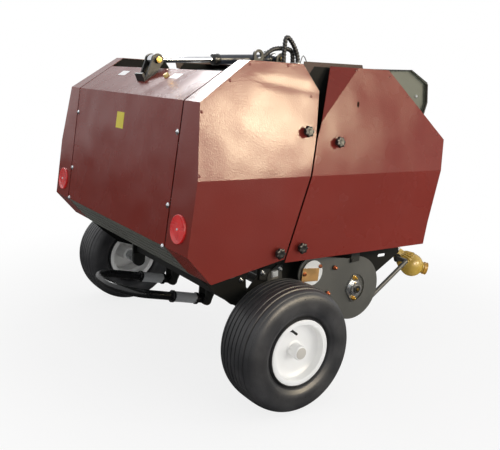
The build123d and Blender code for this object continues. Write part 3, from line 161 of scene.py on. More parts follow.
class Shape:
    """Points and faces gathered from several surfaces, made into one object at the end."""

    def __init__(self):
        self.points = []
        self.faces = []
        self.count = 0

    def add(self, points, faces):
        """One more surface, its faces renumbered to follow the points before them."""
        points = np.asarray(points, float).reshape(-1, 3)
        self.points.append(points)
        self.faces += [[i + self.count for i in f] for f in faces]
        self.count += len(points)

    def grid(self, points, wrap_rows=False, wrap_columns=False, caps=False):
        """Surface through a grid of points, with flat ends on its first and last row when it is capped."""
        rows, columns = points.shape[:2]
        faces = lattice(rows, columns, wrap_rows, wrap_columns)
        if caps:
            faces.append(list(range(columns)))
            faces.append(list(range((rows - 1) * columns, rows * columns)))
        self.add(points, faces)

    def turned(self, profile, centre, direction, steps, wrap=False, lobes=None):
        """Surface of revolution: each profile point (along, radius) is carried round the axis through centre.

        With lobes, a function of the angle and of the profile's points scales the radius.
        """
        profile = np.asarray(profile, float)
        along, radius = profile[:, :1], profile[:, 1:]
        angle = np.arange(steps) * tau / steps
        if lobes is not None:
            radius = radius * lobes(angle, along, radius)
        local = np.stack(
            np.broadcast_arrays(radius * np.cos(angle), radius * np.sin(angle), along), axis=-1)
        points = local @ axes_along(direction).T + np.asarray(centre)
        open_ends = profile[[0, -1], 1].min() > MERGE_DISTANCE
        self.grid(points, wrap_rows=wrap, wrap_columns=True, caps=open_ends and not wrap)

    def pipe(self, path, radius, sides):
        """Tube along a path: rings of one radius, or of a radius for each point, square to the path's run."""
        path = np.asarray(path, float)
        run = unit(np.gradient(path, axis=0))
        flattest = np.eye(3)[np.argmin(path.max(axis=0) - path.min(axis=0))]
        across = unit(np.cross(run, flattest))
        up = np.cross(across, run)
        angle = np.arange(sides)[:, None] * tau / sides
        ring = across[:, None] * np.cos(angle) + up[:, None] * np.sin(angle)
        points = path[:, None] + ring * np.broadcast_to(radius, (len(path), sides))[:, :, None]
        self.grid(points, wrap_columns=True, caps=True)

    def plate(self, outline, start, axes, thickness, round_edge=0.0):
        """Flat plate: an outline in the first two axes, carried along the third, its rims drawn in a little."""
        outline = np.asarray(outline, float)
        centre = outline.mean(axis=0)
        shrink = 1 - round_edge / np.abs(outline - centre).max()
        levels = [(0, shrink), (round_edge, 1.0), (thickness - round_edge, 1.0), (thickness, shrink)]
        if round_edge == 0:
            levels = [(0, 1.0), (thickness, 1.0)]
        rows = []
        for height, scale in levels:
            flat = centre + (outline - centre) * scale
            local = np.column_stack([flat, np.full(len(flat), height)])
            rows.append(local @ np.asarray(axes).T + np.asarray(start))
        self.grid(np.stack(rows), wrap_columns=True, caps=True)

    def piece(self, name, body, slot, material, sharp=35.0):
        """The gathered surfaces as one object that rides on a body."""
        made = new_mesh(name, np.concatenate(self.points), self.faces, sharp)
        made.data.materials.append(bpy.data.materials[material])
        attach(made, body)
        return made


def dome(radius, height, washer=0.0):
    """Profile of a round bolt head: a flat washer, then a quarter ellipse up to the middle."""
    turn = np.linspace(0, pi / 2, 6)
    head = np.column_stack([washer + height * np.sin(turn), radius * np.cos(turn)])
    if washer:
        foot = [(0, radius * 1.35), (washer * 0.7, radius * 1.35), (washer, radius * 1.22)]
        return np.vstack([foot, head])
    return np.vstack([[(0, radius)], head])


WASHER = 0.0015


def hex_head(shape, centre, direction, across, height, tip=0.0):
    """Hexagon bolt head on a washer, with the thread's end standing out of it when tip is given."""
    out = unit(direction)
    shape.turned([(0, across * 0.62), (WASHER, across * 0.62)], centre, out, 24)
    top = np.asarray(centre) + out * WASHER
    r = across / 2 / cos(pi / 6)
    shape.turned([(0, r), (height * 0.85, r), (height, r * 0.88), (height, 0)], top, out, 6)
    if tip:
        thread = [(0, across * 0.3), (tip * 0.85, across * 0.3), (tip, across * 0.22)]
        shape.turned(thread, top + out * height, out, 12)


def rectangle(half_wide, half_high):
    """Outline of a rectangle about its middle."""
    return [(-half_wide, -half_high), (half_wide, -half_high), (half_wide, half_high), (-half_wide, half_high)]


# Materials

NOISE_SPAN = (0.35, 0.65)


class Finish:
    """A material's node tree, with short calls for the nodes that the finishes use."""

    def __init__(self, name):
        """A plain material that the frame made under this name is renamed, so the name is free."""
        plain = bpy.data.materials.get(name)
        if plain:
            plain.name = name + "_of_frame"
        self.material = bpy.data.materials.new(name)
        self.material.use_nodes = True
        self.tree = self.material.node_tree
        self.shader = next(n for n in self.tree.nodes if n.type == "BSDF_PRINCIPLED")
        self.where = self.node("ShaderNodeTexCoord").outputs["Object"]

    def node(self, kind, **values):
        """New node of a kind, with its settings."""
        made = self.tree.nodes.new(kind)
        for key, value in values.items():
            setattr(made, key, value)
        return made

    def link(self, start, end):
        """Link from an output socket to an input socket."""
        self.tree.links.new(start, end)

    def set(self, **values):
        """Values on the shader's own sockets, named with underscores for spaces."""
        for key, value in values.items():
            self.shader.inputs[key.replace("_", " ")].default_value = value

    def stretched(self, scale):
        """Object coordinates scaled along each axis."""
        mapping = self.node("ShaderNodeMapping")
        mapping.inputs["Scale"].default_value = scale
        self.link(self.where, mapping.inputs["Vector"])
        return mapping.outputs["Vector"]

    def noise(self, scale, detail, where=None):
        """Noise over the object's own coordinates, or over others."""
        made = self.node("ShaderNodeTexNoise")
        made.inputs["Scale"].default_value = scale
        made.inputs["Detail"].default_value = detail
        self.link(where or self.where, made.inputs["Vector"])
        return made.outputs["Fac"]

    def ramp(self, value, low, high):
        """Noise over its usual span becomes a colour or a number between low and high."""
        made = self.node("ShaderNodeMapRange")
        made.inputs["From Min"].default_value, made.inputs["From Max"].default_value = NOISE_SPAN
        self.link(value, made.inputs["Value"])
        if np.ndim(low) == 0:
            made.inputs["To Min"].default_value = low
            made.inputs["To Max"].default_value = high
            return made.outputs["Result"]
        mix = self.node("ShaderNodeMix", data_type="RGBA")
        mix.inputs["A"].default_value = (*low, 1)
        mix.inputs["B"].default_value = (*high, 1)
        self.link(made.outputs["Result"], mix.inputs["Factor"])
        return mix.outputs["Result"]

    def bump(self, height, distance, strength=1.0, under=None):
        """Bump on the shader's normal, over another bump when one is given."""
        made = self.node("ShaderNodeBump")
        made.inputs["Distance"].default_value = distance
        made.inputs["Strength"].default_value = strength
        self.link(height, made.inputs["Height"])
        if under is not None:
            self.link(under, made.inputs["Normal"])
        self.link(made.outputs["Normal"], self.shader.inputs["Normal"])
        return made.outputs["Normal"]

    def colour(self, source):
        """Base colour from a socket."""
        self.link(source, self.shader.inputs["Base Color"])

    def rough(self, source):
        """Roughness from a socket."""
        self.link(source, self.shader.inputs["Roughness"])


def linear(r, g, b):
    """Shader colour from the 0 to 255 values that a picture shows."""
    c = np.array([r, g, b]) / 255
    return tuple(float(v) for v in np.where(c <= 0.04045, c / 12.92, ((c + 0.055) / 1.055) ** 2.4))


def paint(name, dark, light, rough, peel=0.4, wave=1.0, level=0.5):
    """Sprayed paint: two close tones in slow patches, orange peel and, on thin sheets, slow waves."""
    f = Finish(name)
    f.colour(f.ramp(f.noise(3.0, 3.0), dark, light))
    f.rough(f.ramp(f.noise(7.0, 3.0), *rough))
    slow = f.bump(f.noise(5.0, 1.0), 0.02 * wave, 0.4)
    f.bump(f.noise(210.0, 2.0), 0.0012, peel, under=slow)
    f.set(Specular_IOR_Level=level)
    return f


# The dent's line passes through a spot in the side view and falls forwards by a share of its run.
# It fades in from the first to the second of two places ahead of the axle.
DENT_SPOT = (-0.079, 1.130)
DENT_FALL = 0.117
DENT_WIDTH, DENT_DEPTH = 0.020, 0.0013
DENT_FADE = (-0.14, -0.05)


def dent(f):
    """Shallow valley under the top edge of the tailgate's shields.

    Its depth is a bell curve exp(-(d / width)^2) of the height d above its line in the side view.
    """
    across = f.node("ShaderNodeVectorMath", operation="DOT_PRODUCT")
    f.link(f.where, across.inputs[0])
    across.inputs[1].default_value = (DENT_FALL / DENT_WIDTH, 0, 1 / DENT_WIDTH)
    height = across.outputs["Value"]
    level = DENT_SPOT[1] + DENT_FALL * (AXLE_X + DENT_SPOT[0])
    for operation, value in (("SUBTRACT", level / DENT_WIDTH), ("POWER", 2), ("MULTIPLY", -1), ("EXPONENT", 0),
                             ("MULTIPLY", -DENT_DEPTH)):
        step = f.node("ShaderNodeMath", operation=operation)
        f.link(height, step.inputs[0])
        step.inputs[1].default_value = value
        height = step.outputs["Value"]
    apart = f.node("ShaderNodeSeparateXYZ")
    f.link(f.where, apart.inputs["Vector"])
    ends = f.node("ShaderNodeMapRange", interpolation_type="SMOOTHSTEP")
    ends.inputs["From Min"].default_value = AXLE_X + DENT_FADE[0]
    ends.inputs["From Max"].default_value = AXLE_X + DENT_FADE[1]
    f.link(apart.outputs["X"], ends.inputs["Value"])
    ending = f.node("ShaderNodeMath", operation="MULTIPLY")
    f.link(height, ending.inputs[0])
    f.link(ends.outputs["Result"], ending.inputs[1])
    f.bump(ending.outputs["Value"], 1.0, under=f.shader.inputs["Normal"].links[0].from_socket)


def metal(name, dark, light, rough, grain=(1, 1, 1), scale=60.0, depth=0.0006):
    """Bare or plated metal with uneven tone and a fine grain, drawn out along one way when asked."""
    f = Finish(name)
    where = f.stretched(grain)
    f.colour(f.ramp(f.noise(scale * 0.4, 3.0, where), dark, light))
    f.rough(f.ramp(f.noise(scale, 3.0, where), *rough))
    f.bump(f.noise(scale * 5, 2.0, where), depth, 0.3)
    f.set(Metallic=1.0)


def rubber(name, dark, light, rough):
    """Rubber: dusty patches over a dark body, with a fine grain."""
    f = Finish(name)
    f.colour(f.ramp(f.noise(12.0, 4.0), dark, light))
    f.rough(f.ramp(f.noise(8.0, 3.0), *rough))
    f.bump(f.noise(320.0, 3.0), 0.0012, 0.35)


def plastic(name, dark, light, rough):
    """Moulded plastic with a slight grain."""
    f = Finish(name)
    f.colour(f.ramp(f.noise(12.0, 2.0), dark, light))
    f.rough(f.ramp(f.noise(24.0, 2.0), *rough))
    f.bump(f.noise(480.0, 2.0), 0.0006, 0.3)
    return f


DEEP_SHARE = 0.93


def make_finishes(sizes):
    """Every paint, metal, rubber and plastic, with its two tones and its range of roughness."""
    maroon = tuple(sizes.maroon)
    deep = tuple(c * DEEP_SHARE for c in maroon)
    dent(paint("maroon_paint", deep, maroon, (0.22, 0.27), peel=0.35, level=0.34))
    paint("rear_maroon", deep, maroon, (0.24, 0.30), peel=0.3, wave=1.2, level=0.22)
    paint("channel_paint", linear(96, 99, 92), linear(112, 114, 106), (0.4, 0.5), wave=0.3)
    paint("front_maroon", deep, maroon, (0.24, 0.30), peel=0.35, level=0.2)
    # Much darker copy of the body maroon for the top covers and corner plates: painted shade on the lip.
    paint("shaded_cover_maroon", linear(52, 16, 18), linear(60, 19, 21), (0.3, 0.4), peel=0.3, wave=0.5, level=0.3)
    paint("frame_paint", linear(22, 23, 22), linear(32, 33, 31), (0.42, 0.55), wave=0.3)
    # Darker, less glossy copy of the frame paint for the side and tail plates: the darker tone is painted shade.
    paint("shaded_plate_paint", linear(20, 21, 20), linear(28, 29, 27), (0.6, 0.7), wave=0.2, level=0.12)
    paint("pickup_paint", linear(74, 74, 70), linear(88, 88, 83), (0.45, 0.55), wave=0.4)
    paint("twine_box_paint", linear(92, 96, 84), linear(106, 110, 96), (0.5, 0.6), wave=0.4)
    paint("tube_black", linear(14, 14, 16), linear(24, 25, 27), (0.22, 0.32), peel=0.3, wave=0.2)
    paint("cylinder_paint", linear(44, 52, 64), linear(60, 68, 82), (0.25, 0.35), peel=0.3, wave=0.2)
    paint("rim_paint", linear(240, 240, 238), linear(250, 250, 249), (0.3, 0.42), peel=0.3, wave=0.3)
    paint("cast_paint", linear(36, 38, 37), linear(50, 51, 49), (0.5, 0.65), peel=1.6, wave=0.2)
    paint("spring_grey", linear(168, 170, 172), linear(186, 188, 190), (0.35, 0.45), peel=0.2, wave=0.1)
    paint("hub_grey", linear(196, 192, 184), linear(208, 204, 196), (0.4, 0.5), peel=0.5, wave=0.1)
    metal("zinc", linear(176, 180, 184), linear(214, 217, 220), (0.22, 0.38))
    metal("roller_steel", linear(112, 112, 112), linear(140, 139, 136), (0.35, 0.5), grain=(1, 0.1, 1))
    metal("rod_chrome", linear(205, 207, 212), linear(222, 224, 228), (0.06, 0.12), depth=0.0001)
    metal("gold_bolt", linear(186, 150, 72), linear(214, 182, 104), (0.25, 0.4))
    metal("copper_bolt", linear(150, 92, 66), linear(188, 122, 92), (0.3, 0.45))
    metal("tan_plate", linear(186, 150, 104), linear(204, 170, 124), (0.35, 0.5), scale=20)
    rubber("tyre_rubber", linear(42, 43, 46), linear(60, 60, 62), (0.38, 0.52))
    rubber("hose_rubber", linear(20, 20, 22), linear(34, 34, 36), (0.35, 0.5))
    plastic("knob_plastic", linear(20, 20, 20), linear(30, 30, 29), (0.35, 0.5))
    plastic("black_trim", linear(12, 12, 12), linear(20, 20, 20), (0.5, 0.7))
    plastic("guard_yellow", linear(196, 160, 66), linear(212, 178, 84), (0.25, 0.36))
    plastic("yoke_yellow", linear(190, 140, 38), linear(206, 156, 52), (0.35, 0.45))
    plastic("white_disc", linear(226, 226, 222), linear(240, 240, 236), (0.4, 0.55))
    plastic("label_yellow", linear(222, 206, 60), linear(234, 220, 76), (0.45, 0.55))
    plastic("label_white", linear(225, 226, 230), linear(238, 239, 242), (0.4, 0.5))
    plastic("cap_yellow", linear(222, 196, 112), linear(232, 208, 128), (0.35, 0.45))
    lens = plastic("reflector_red", linear(222, 20, 26), linear(246, 44, 44), (0.24, 0.34))
    cells = lens.node("ShaderNodeTexVoronoi")
    cells.inputs["Scale"].default_value = 330.0
    lens.link(lens.where, cells.inputs["Vector"])
    lens.bump(cells.outputs["Distance"], 0.0016, 0.7)
    lens.set(Coat_Weight=0.6, Coat_Roughness=0.1)


# Frame nodes whose finish isn't the one named after their slot. The top covers get a much darker maroon, painted
# shade.
NODE_FINISH = {
    "front_shields": "front_maroon", "top_covers": "shaded_cover_maroon", "tail_panel": "rear_maroon",
    # The side and tail plates take the darker frame paint, painted shade.
    "tail_channel": "channel_paint", "side_plates": "shaded_plate_paint", "tail_plates": "shaded_plate_paint",
    "reel_bearings": "zinc", "gearbox": "cast_paint", "pickup_bands": "zinc", "twine_lid": "tube_black",
    "tail_bearings": "cast_paint", "front_bearings": "cast_paint", "shaft_yoke": "yoke_yellow",
}


def finish_frame_nodes():
    """Every node of the frame gets the finish named for it, or else that of its slot in the record."""
    slots = {row["node"]: row["material_slot"] for row in frame["record"]["subparts"]}
    for name, node in frame["nodes"].items():
        material = bpy.data.materials[NODE_FINISH.get(name, slots[name])]
        if node.material_slots:
            for slot in node.material_slots:
                slot.material = material
        else:
            node.data.materials.append(material)


# Wheels

TYRE_HALF = 0.1
TYRE_POWER = 3.1
CROWN_INSET = 0.0005
BEAD_R = 0.119
SEAT_R = 0.104

# Middle, half-width and depth of the grooves on one half of the tread
GROOVES = (
    (0.0, 0.0028, 0.007), (0.0215, 0.0028, 0.007), (0.043, 0.0028, 0.007), (0.0645, 0.003, 0.006),
    (0.0835, 0.0016, 0.002),
)
# Radius, height and spread of the rings round a sidewall
SIDE_RINGS = ((0.134, 0.0016, 0.0022), (0.206, 0.001, 0.0016), (0.1405, -0.0012, 0.002))
# Radius and number of the short rubber nibs in each row, which also starts at that radius taken as an angle
NIB_ROWS = ((0.198, 36), (0.166, 24))
NIB = [(0, 0.0011), (0.0028, 0.0009)]


def wheels():
    """Word, side and middle of each wheel."""
    for word, hand in (("right", RIGHT), ("left", LEFT)):
        yield word, hand, AXLE * (1, -hand, 1)


def build_tyres(sizes):
    """Ribbed tyre: a superellipse across its width, cut by round grooves, carried round the wheel's axis.

    The outline is |h/W|^n + |(r - m)/H|^n = 1 for half-width W, middle radius m and half-height H.
    Each groove lowers the radius by its depth times a smooth step to each side of its middle.
    Each ring on the sidewall adds a bell curve of the radius.
    """
    low, high = corners("tyre_right")
    crown = (high[2] - low[2]) / 2 - CROWN_INSET
    middle_r, tall = (crown + BEAD_R) / 2, (crown - BEAD_R) / 2

    def half_width(radius):
        """Half the width of the tyre's outline at a radius."""
        share = np.clip(1 - np.abs((radius - middle_r) / tall) ** TYRE_POWER, 0, 1)
        return TYRE_HALF * share ** (1 / TYRE_POWER)

    across = np.concatenate([
        np.linspace(0.0, 0.085, sizes.tread_points), np.linspace(0.087, TYRE_HALF, 9)[:-1]])
    upper = middle_r + tall * (1 - (across / TYRE_HALF) ** TYRE_POWER) ** (1 / TYRE_POWER)
    depth = np.zeros_like(across)
    for at, wide, deep in GROOVES:
        t = np.clip((wide - np.abs(across - at)) / (wide * 0.45), 0, 1)
        depth = np.maximum(depth, deep * t * t * (3 - 2 * t))
    tread = np.column_stack([across, upper - depth])
    side_r = np.linspace(upper[-1], BEAD_R + 0.008, 22)
    ring = sum(height * np.exp(-((side_r - at) / spread) ** 2) for at, height, spread in SIDE_RINGS)
    side = np.column_stack([half_width(side_r) + ring, side_r])
    inner_r = SEAT_R + 0.0005
    inner = np.array([(0.0875, BEAD_R + 0.002), (0.084, BEAD_R), (0.084, inner_r), (0.03, inner_r)])
    right = np.vstack([tread, side[1:], inner])
    profile = np.vstack([right, right[::-1] * (-1, 1)])[:-1]
    for word, _, centre in wheels():
        tyre = Shape()
        tyre.turned(profile, centre, (0, 1, 0), sizes.tyre_steps, wrap=True)
        for radius, count in NIB_ROWS:
            reach = half_width(radius) - 0.0008
            for angle in np.arange(count) * tau / count + radius:
                spot = centre + np.array([cos(angle), 0, sin(angle)]) * radius
                for face in (-1, 1):
                    tyre.turned(NIB, spot + np.array([0, face * reach, 0]), (0, face, 0), 5)
        tyre_piece = tyre.piece(f"ribbed_tyre_{word}", f"wheel_{word}", "tyre_rubber", "tyre_rubber", 50)
        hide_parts(f"tyre_{word}")


HUB = [
    (-0.052, 0.0152), (-0.052, 0.032), (-0.050, 0.034), (0.046, 0.034), (0.051, 0.034), (0.0535, 0.031),
    (0.0545, 0.0262), (0.088, 0.0258), (0.0905, 0.0248), (0.092, 0.0225), (0.092, 0.0002), (0.074, 0.0002),
    (0.074, 0.0152),
]
HUB_CAP = [(0.0921, 0.0), (0.0921, 0.0205), (0.0928, 0.0205), (0.0934, 0.0192), (0.0934, 0.0)]
VALVE = [
    (0, 0.0075), (0.004, 0.0072), (0.008, 0.005), (0.024, 0.0042), (0.0245, 0.0046), (0.034, 0.0046),
    (0.0352, 0.0038), (0.0352, 0.0),
]


def build_rims():
    """Dished rim: one profile turned round the axle, with rolled lips, a drop centre and a raised hub.

    The hub, its cap and the tyre's valve are turned from profiles of their own.
    """
    lip, seat, drop, wall = BEAD_R, SEAT_R, 0.092, 0.004
    profile = np.array([
        (0.088, lip - 0.003), (0.0868, lip - 0.0006), (0.085, lip), (0.0842, lip - 0.002),
        (0.0838, seat + 0.002), (0.082, seat), (0.052, seat - 0.001), (0.046, drop), (-0.03, drop),
        (-0.04, seat - 0.001), (-0.082, seat), (-0.0838, seat + 0.002), (-0.0842, lip - 0.002), (-0.085, lip),
        (-0.0868, lip - 0.0006), (-0.088, lip - 0.003), (-0.088, seat + 0.001), (-0.0855, seat - wall),
        (-0.042, seat - wall - 0.001), (-0.032, drop - wall), (0.040, drop - wall), (0.043, 0.084),
        (0.0455, 0.066), (0.046, 0.058), (0.046, 0.034), (0.051, 0.034), (0.051, 0.058), (0.0505, 0.066),
        (0.050, 0.078), (0.054, 0.0905), (0.0615, 0.0985), (0.082, 0.1002), (0.0868, 0.1015), (0.088, 0.1045),
    ])
    for word, hand, centre in wheels():
        out = np.array([0, hand, 0])
        rim = Shape()
        rim.turned(profile, centre, out, 96, wrap=True)
        rim.turned(HUB, centre, out, 48, wrap=True)
        rim_piece = rim.piece(f"dished_rim_{word}", f"wheel_{word}", "rim_paint", "rim_paint", 40)
        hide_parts(f"rim_{word}")
        cap = Shape()
        cap.turned(HUB_CAP, centre, out, 40)
        cap.piece(f"hub_cap_face_{word}", f"wheel_{word}", "zinc", "hub_grey")
        valve = Shape()
        away = np.array([-0.26, 0, 0.966])
        valve.turned(VALVE, centre + away * 0.078 + out * 0.049, out - away * 0.15, 16)
        valve.piece(f"tyre_valve_{word}", f"wheel_{word}", "knob_plastic", "black_trim")


# Body sheets, bolts and trim

def sheet_face(a, b, share, y, out=0.0):
    """Point on the rear sheets, a share of the way from a to b in the side view, and the axes there.

    The axes are columns: across the machine, up the sheet, and out of it.
    """
    run = unit([b[0] - a[0], 0, b[1] - a[1]])
    normal = np.array([-run[2], 0, run[0]])
    point = place(a[0] + (b[0] - a[0]) * share, y, a[1] + (b[1] - a[1]) * share)
    return point + normal * out, np.stack([(0, 1, 0), run, normal], axis=-1)


def on_rear_sheet(y, z):
    """Point and axes on the rear sheet at height z."""
    share = (z - TAIL_BACK[1]) / (TAIL_SHOULDER[1] - TAIL_BACK[1])
    return sheet_face(TAIL_BACK, TAIL_SHOULDER, share, y)


def on_slope(x, y):
    """Point and axes on the slanting top sheet at x ahead of the axle."""
    share = (x - TAIL_SHOULDER[0]) / (TAIL_TOP_REAR[0] - TAIL_SHOULDER[0])
    return sheet_face(TAIL_SHOULDER, TAIL_TOP_REAR, share, y)


STICKER_THICKNESS = 0.0006


def build_rear_trim():
    """Dome bolts down both sides of the rear sheet, a blank label, two blank stickers and a round cap."""
    bolts = Shape()
    for y, z in ((0.452, 0.951), (0.452, 0.708), (-0.452, 0.951), (-0.452, 0.708), (0.452, 0.574),
                 (-0.452, 0.568)):
        spot, axes = on_rear_sheet(y, z)
        bolts.turned(dome(0.0075, 0.005, 0.0014), spot, axes[:, 2], 20)
    bolts.piece("rear_sheet_bolts", "tailgate", "zinc", "zinc")

    label = Shape()
    label.plate(rectangle(0.033, 0.031), *on_rear_sheet(0.010, 0.953), STICKER_THICKNESS)
    label.piece("blank_label", "tailgate", "reflector_red", "label_yellow")

    stickers = Shape()
    for x, y in ((-0.215, 0.245), (-0.214, -0.208)):
        stickers.plate(rectangle(0.034, 0.016), *on_slope(x, y), STICKER_THICKNESS)
    stickers.piece("blank_stickers", "tailgate", "rim_paint", "label_white")

    cap = Shape()
    spot, axes = on_slope(-0.219, -0.147)
    cap.turned([(0, 0.0105), (0.009, 0.0105), (0.012, 0.009), (0.012, 0.0)], spot, axes[:, 2], 24)
    cap.piece("grease_cap", "tailgate", "guard_yellow", "cap_yellow")


def build_reflectors():
    """Round reflectors with a rolled edge, and a pale rivet in the middle of each."""
    up_sheet, side, face = 0.076, 0.545, 0.0062
    lens, rivet = Shape(), Shape()
    share = up_sheet / np.hypot(TAIL_SHOULDER[0] - TAIL_BACK[0], TAIL_SHOULDER[1] - TAIL_BACK[1])
    for hand in (RIGHT, LEFT):
        spot, axes = sheet_face(TAIL_BACK, TAIL_SHOULDER, share, hand * side)
        out = axes[:, 2]
        lens.turned([(0, 0.0485), (0.004, 0.0488), (face, 0.0478), (0.0068, 0.0462), (face, 0.0445),
                     (0.0064, 0.008), (0.0064, 0.0)], spot, out, 64)
        rivet.turned(dome(0.0042, 0.0026), spot + out * face, out, 16)
    piece = lens.piece("reflector_lenses", "tailgate", "reflector_red", "reflector_red", 30)
    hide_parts("reflectors")
    rivet.piece("reflector_rivets", "tailgate", "zinc", "label_white")


def star(angle, along, radius):
    """Scale of a knob's radius: seven rounded lobes on its grip, none on its narrow neck."""
    grip = np.clip((along - 0.009) / 0.004, 0, 1) * np.clip(radius / 0.012, 0, 1)
    return 1 + 0.11 * grip * np.cos(7 * angle)


STAR_KNOB = [
    (0.0, 0.0105), (0.0065, 0.0105), (0.0085, 0.0125), (0.0105, 0.0172), (0.0125, 0.0186), (0.019, 0.0186),
    (0.0222, 0.0172), (0.0236, 0.0142), (0.024, 0.0085), (0.0234, 0.007), (0.0234, 0.0),
]


def build_knobs():
    """Star knobs: a neck, then a lobed grip with a rounded crown, square to the shield under each."""
    for name, body, node, places in (
        ("front_star_knobs", "chassis", "front_knobs", ((0.079, 0.561), (0.238, 0.927))),
        ("tail_star_knobs", "tailgate", "tail_knobs", ((-0.019, 0.551), (0.096, 0.964))),
    ):
        group = Shape()
        for x, z in places:
            for hand in (RIGHT, LEFT):
                group.turned(STAR_KNOB, *on_shield(x, z, hand), 56, lobes=star)
        piece = group.piece(name, body, "knob_plastic", "knob_plastic", 40)
        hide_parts(node)


# Rear, ramp and underframe

COIL_STEPS = 18


def coil(shape, start, direction, turns, radius, wire, length):
    """Round wire wound on a cylinder: it climbs evenly along the axis as the angle goes round."""
    t = np.linspace(0, 1, turns * COIL_STEPS)
    angle = t * turns * tau
    local = np.stack([radius * np.cos(angle), radius * np.sin(angle), t * length], axis=-1)
    shape.pipe(local @ axes_along(direction).T + np.asarray(start), wire, 8)


def build_ramp_springs():
    """Grey return springs on the legs of the ramp, each with a black stop at both of its ends."""
    rise = radians(12.6)
    leg = np.array([-cos(rise), 0, sin(rise)])
    spring_from, spring_long = 0.046, 0.100
    springs, stops = Shape(), Shape()
    for hand in (RIGHT, LEFT):
        hinge = place(-0.020, hand * 0.148, 0.235)
        coil(springs, hinge + leg * spring_from, leg, 19, 0.0192, 0.0024, spring_long)
        for near, far in ((0.036, spring_from), (0.147, 0.158)):
            wide = far - near
            stops.turned([(0, 0.0172), (0, 0.0235), (0.001, 0.0245), (wide - 0.001, 0.0245), (wide, 0.0235),
                          (wide, 0.0172)], hinge + leg * near, leg, 32, wrap=True)
    springs.piece("ramp_springs", "ramp", "zinc", "spring_grey", 60)
    stops.piece("ramp_spring_stops", "ramp", "tube_black", "tube_black")


def build_channel_beads():
    """Rolled beads across the grey closing sheet under the rear sheet."""
    half_long, out = 0.452, 0.0002
    beads = Shape()
    outline = [(-0.004, 0), (-0.0025, 0.0022), (0, 0.003), (0.0025, 0.0022), (0.004, 0)]
    for share in (0.16, 0.36, 0.56, 0.76):
        spot, axes = sheet_face(TAIL_FOOT, TAIL_BACK, share, -half_long, out)
        beads.plate(outline, spot, axes[:, (1, 2, 0)], 2 * half_long)
    beads.piece("closing_sheet_beads", "tailgate", "pickup_paint", "pickup_paint", 60)


SHIELD_SCREWS = (
    ("tailgate", ((-0.203, 1.125), (-0.122, 1.179), (-0.318, 1.025), (-0.342, 0.830), (0.036, 1.184),
                  (0.128, 1.085))),
    ("chassis", ((0.354, 1.184), (0.622, 1.100), (0.526, 1.168), (0.780, 0.955))),
)


def build_shield_screws():
    """Small painted screw heads along the edges of the shields, square to the leaning sheet."""
    for body, places in SHIELD_SCREWS:
        group = Shape()
        for x, z in places:
            for hand in (RIGHT, LEFT):
                group.turned(dome(0.0042, 0.0022, 0.0008), *on_shield(x, z, hand), 14)
        group.piece(f"shield_screws_{body}", body, "maroon_paint", "maroon_paint")


def build_latches():
    """Tailgate latches behind the foot of the shields: hook plates, white nylon blocks and their bolts."""
    plate_y, face_y = 0.4862, 0.4940
    hooks, blocks, bolts = Shape(), Shape(), Shape()
    for hand in (RIGHT, LEFT):
        out = (0, hand, 0)
        outline = [(0.004, 0.414), (0.028, 0.408), (0.080, 0.416), (0.108, 0.430), (0.110, 0.458), (0.086, 0.462),
                   (0.060, 0.446), (0.030, 0.456), (0.006, 0.452)]
        hooks.plate(outline, place(0, hand * plate_y, 0), side_axes(hand), 0.008, 0.001)
        blocks.plate([(0.056, 0.418), (0.082, 0.420), (0.080, 0.444), (0.054, 0.442)],
                     place(0, hand * face_y, 0), side_axes(hand), 0.012, 0.002)
        for x, z in ((0.017, 0.438), (0.094, 0.445)):
            hex_head(bolts, place(x, hand * face_y, z), out, 0.014, 0.007, tip=0.006)
        hex_head(bolts, place(-0.081, hand * 0.4980, 0.425), out, 0.013, 0.006, tip=0.005)
    hooks.piece("tailgate_latches", "chassis", "frame_paint", "frame_paint")
    blocks.piece("latch_blocks", "chassis", "rim_paint", "white_disc")
    bolts.piece("latch_bolts", "chassis", "zinc", "zinc")


# Pickup, shaft and front

def build_pickup_details():
    """White bearing cover on its tan plate, the bolts round the reel and the strap that hangs the pickup."""
    bolt_line = 0.432
    discs, plates, copper, gold, straps = Shape(), Shape(), Shape(), Shape(), Shape()
    for hand in (RIGHT, LEFT):
        out, axes = (0, hand, 0), side_axes(hand)
        discs.turned([(0, 0.0485), (0.001, 0.049), (0.003, 0.0488), (0.0042, 0.0465), (0.0036, 0.041),
                      (0.0036, 0.012), (0.0046, 0.010), (0.0046, 0.0)],
                     place(0.205, hand * 0.5531, 0.432), out, 64)
        outline = [(0.152, 0.404), (0.232, 0.398), (0.236, 0.448), (0.156, 0.456)]
        plates.plate(outline, place(0, hand * 0.5574, 0), axes, 0.0016, 0.0004)
        for x, y, z in ((0.240, 0.5568, 0.455), (0.164, 0.5586, 0.432)):
            hex_head(copper, place(x, hand * y, z), out, 0.012, 0.005)
        for x, z in ((0.317, 0.439), (0.290, 0.339)):
            hex_head(copper, place(x, hand * 0.5562, z), out, 0.014, 0.006, tip=0.005)
        for z in (0.298, 0.382):
            hex_head(gold, place(bolt_line, hand * 0.5512, z), out, 0.015, 0.007, tip=0.008)
        gold.turned([(0, 0.006), (0.003, 0.006), (0.003, 0.0)], place(bolt_line, hand * 0.5730, 0.340), out, 16)
        straps.plate([(0.398, 0.448), (0.446, 0.452), (0.446, 0.492), (0.402, 0.492)],
                     place(0, hand * 0.5492, 0), axes, 0.005, 0.001)
        hex_head(straps, place(0.404, hand * 0.5542, 0.458), out, 0.012, 0.006)
    discs.piece("bearing_covers", "chassis", "rim_paint", "white_disc")
    plates.piece("bearing_cover_plates", "chassis", "zinc", "tan_plate")
    copper.piece("pickup_bolts", "chassis", "zinc", "copper_bolt")
    gold.piece("reel_bolts", "chassis", "zinc", "gold_bolt")
    straps.piece("pickup_straps", "chassis", "frame_paint", "frame_paint")


# Place of the joint, and the headings of the shaft and of its yoke
SHAFT_JOINT = (0.806, 0.0, 0.560)
SHAFT_TURN, SHAFT_DROP = radians(-54.5), radians(33.25)
YOKE_TURN, YOKE_DROP = radians(-37.7), radians(11.5)
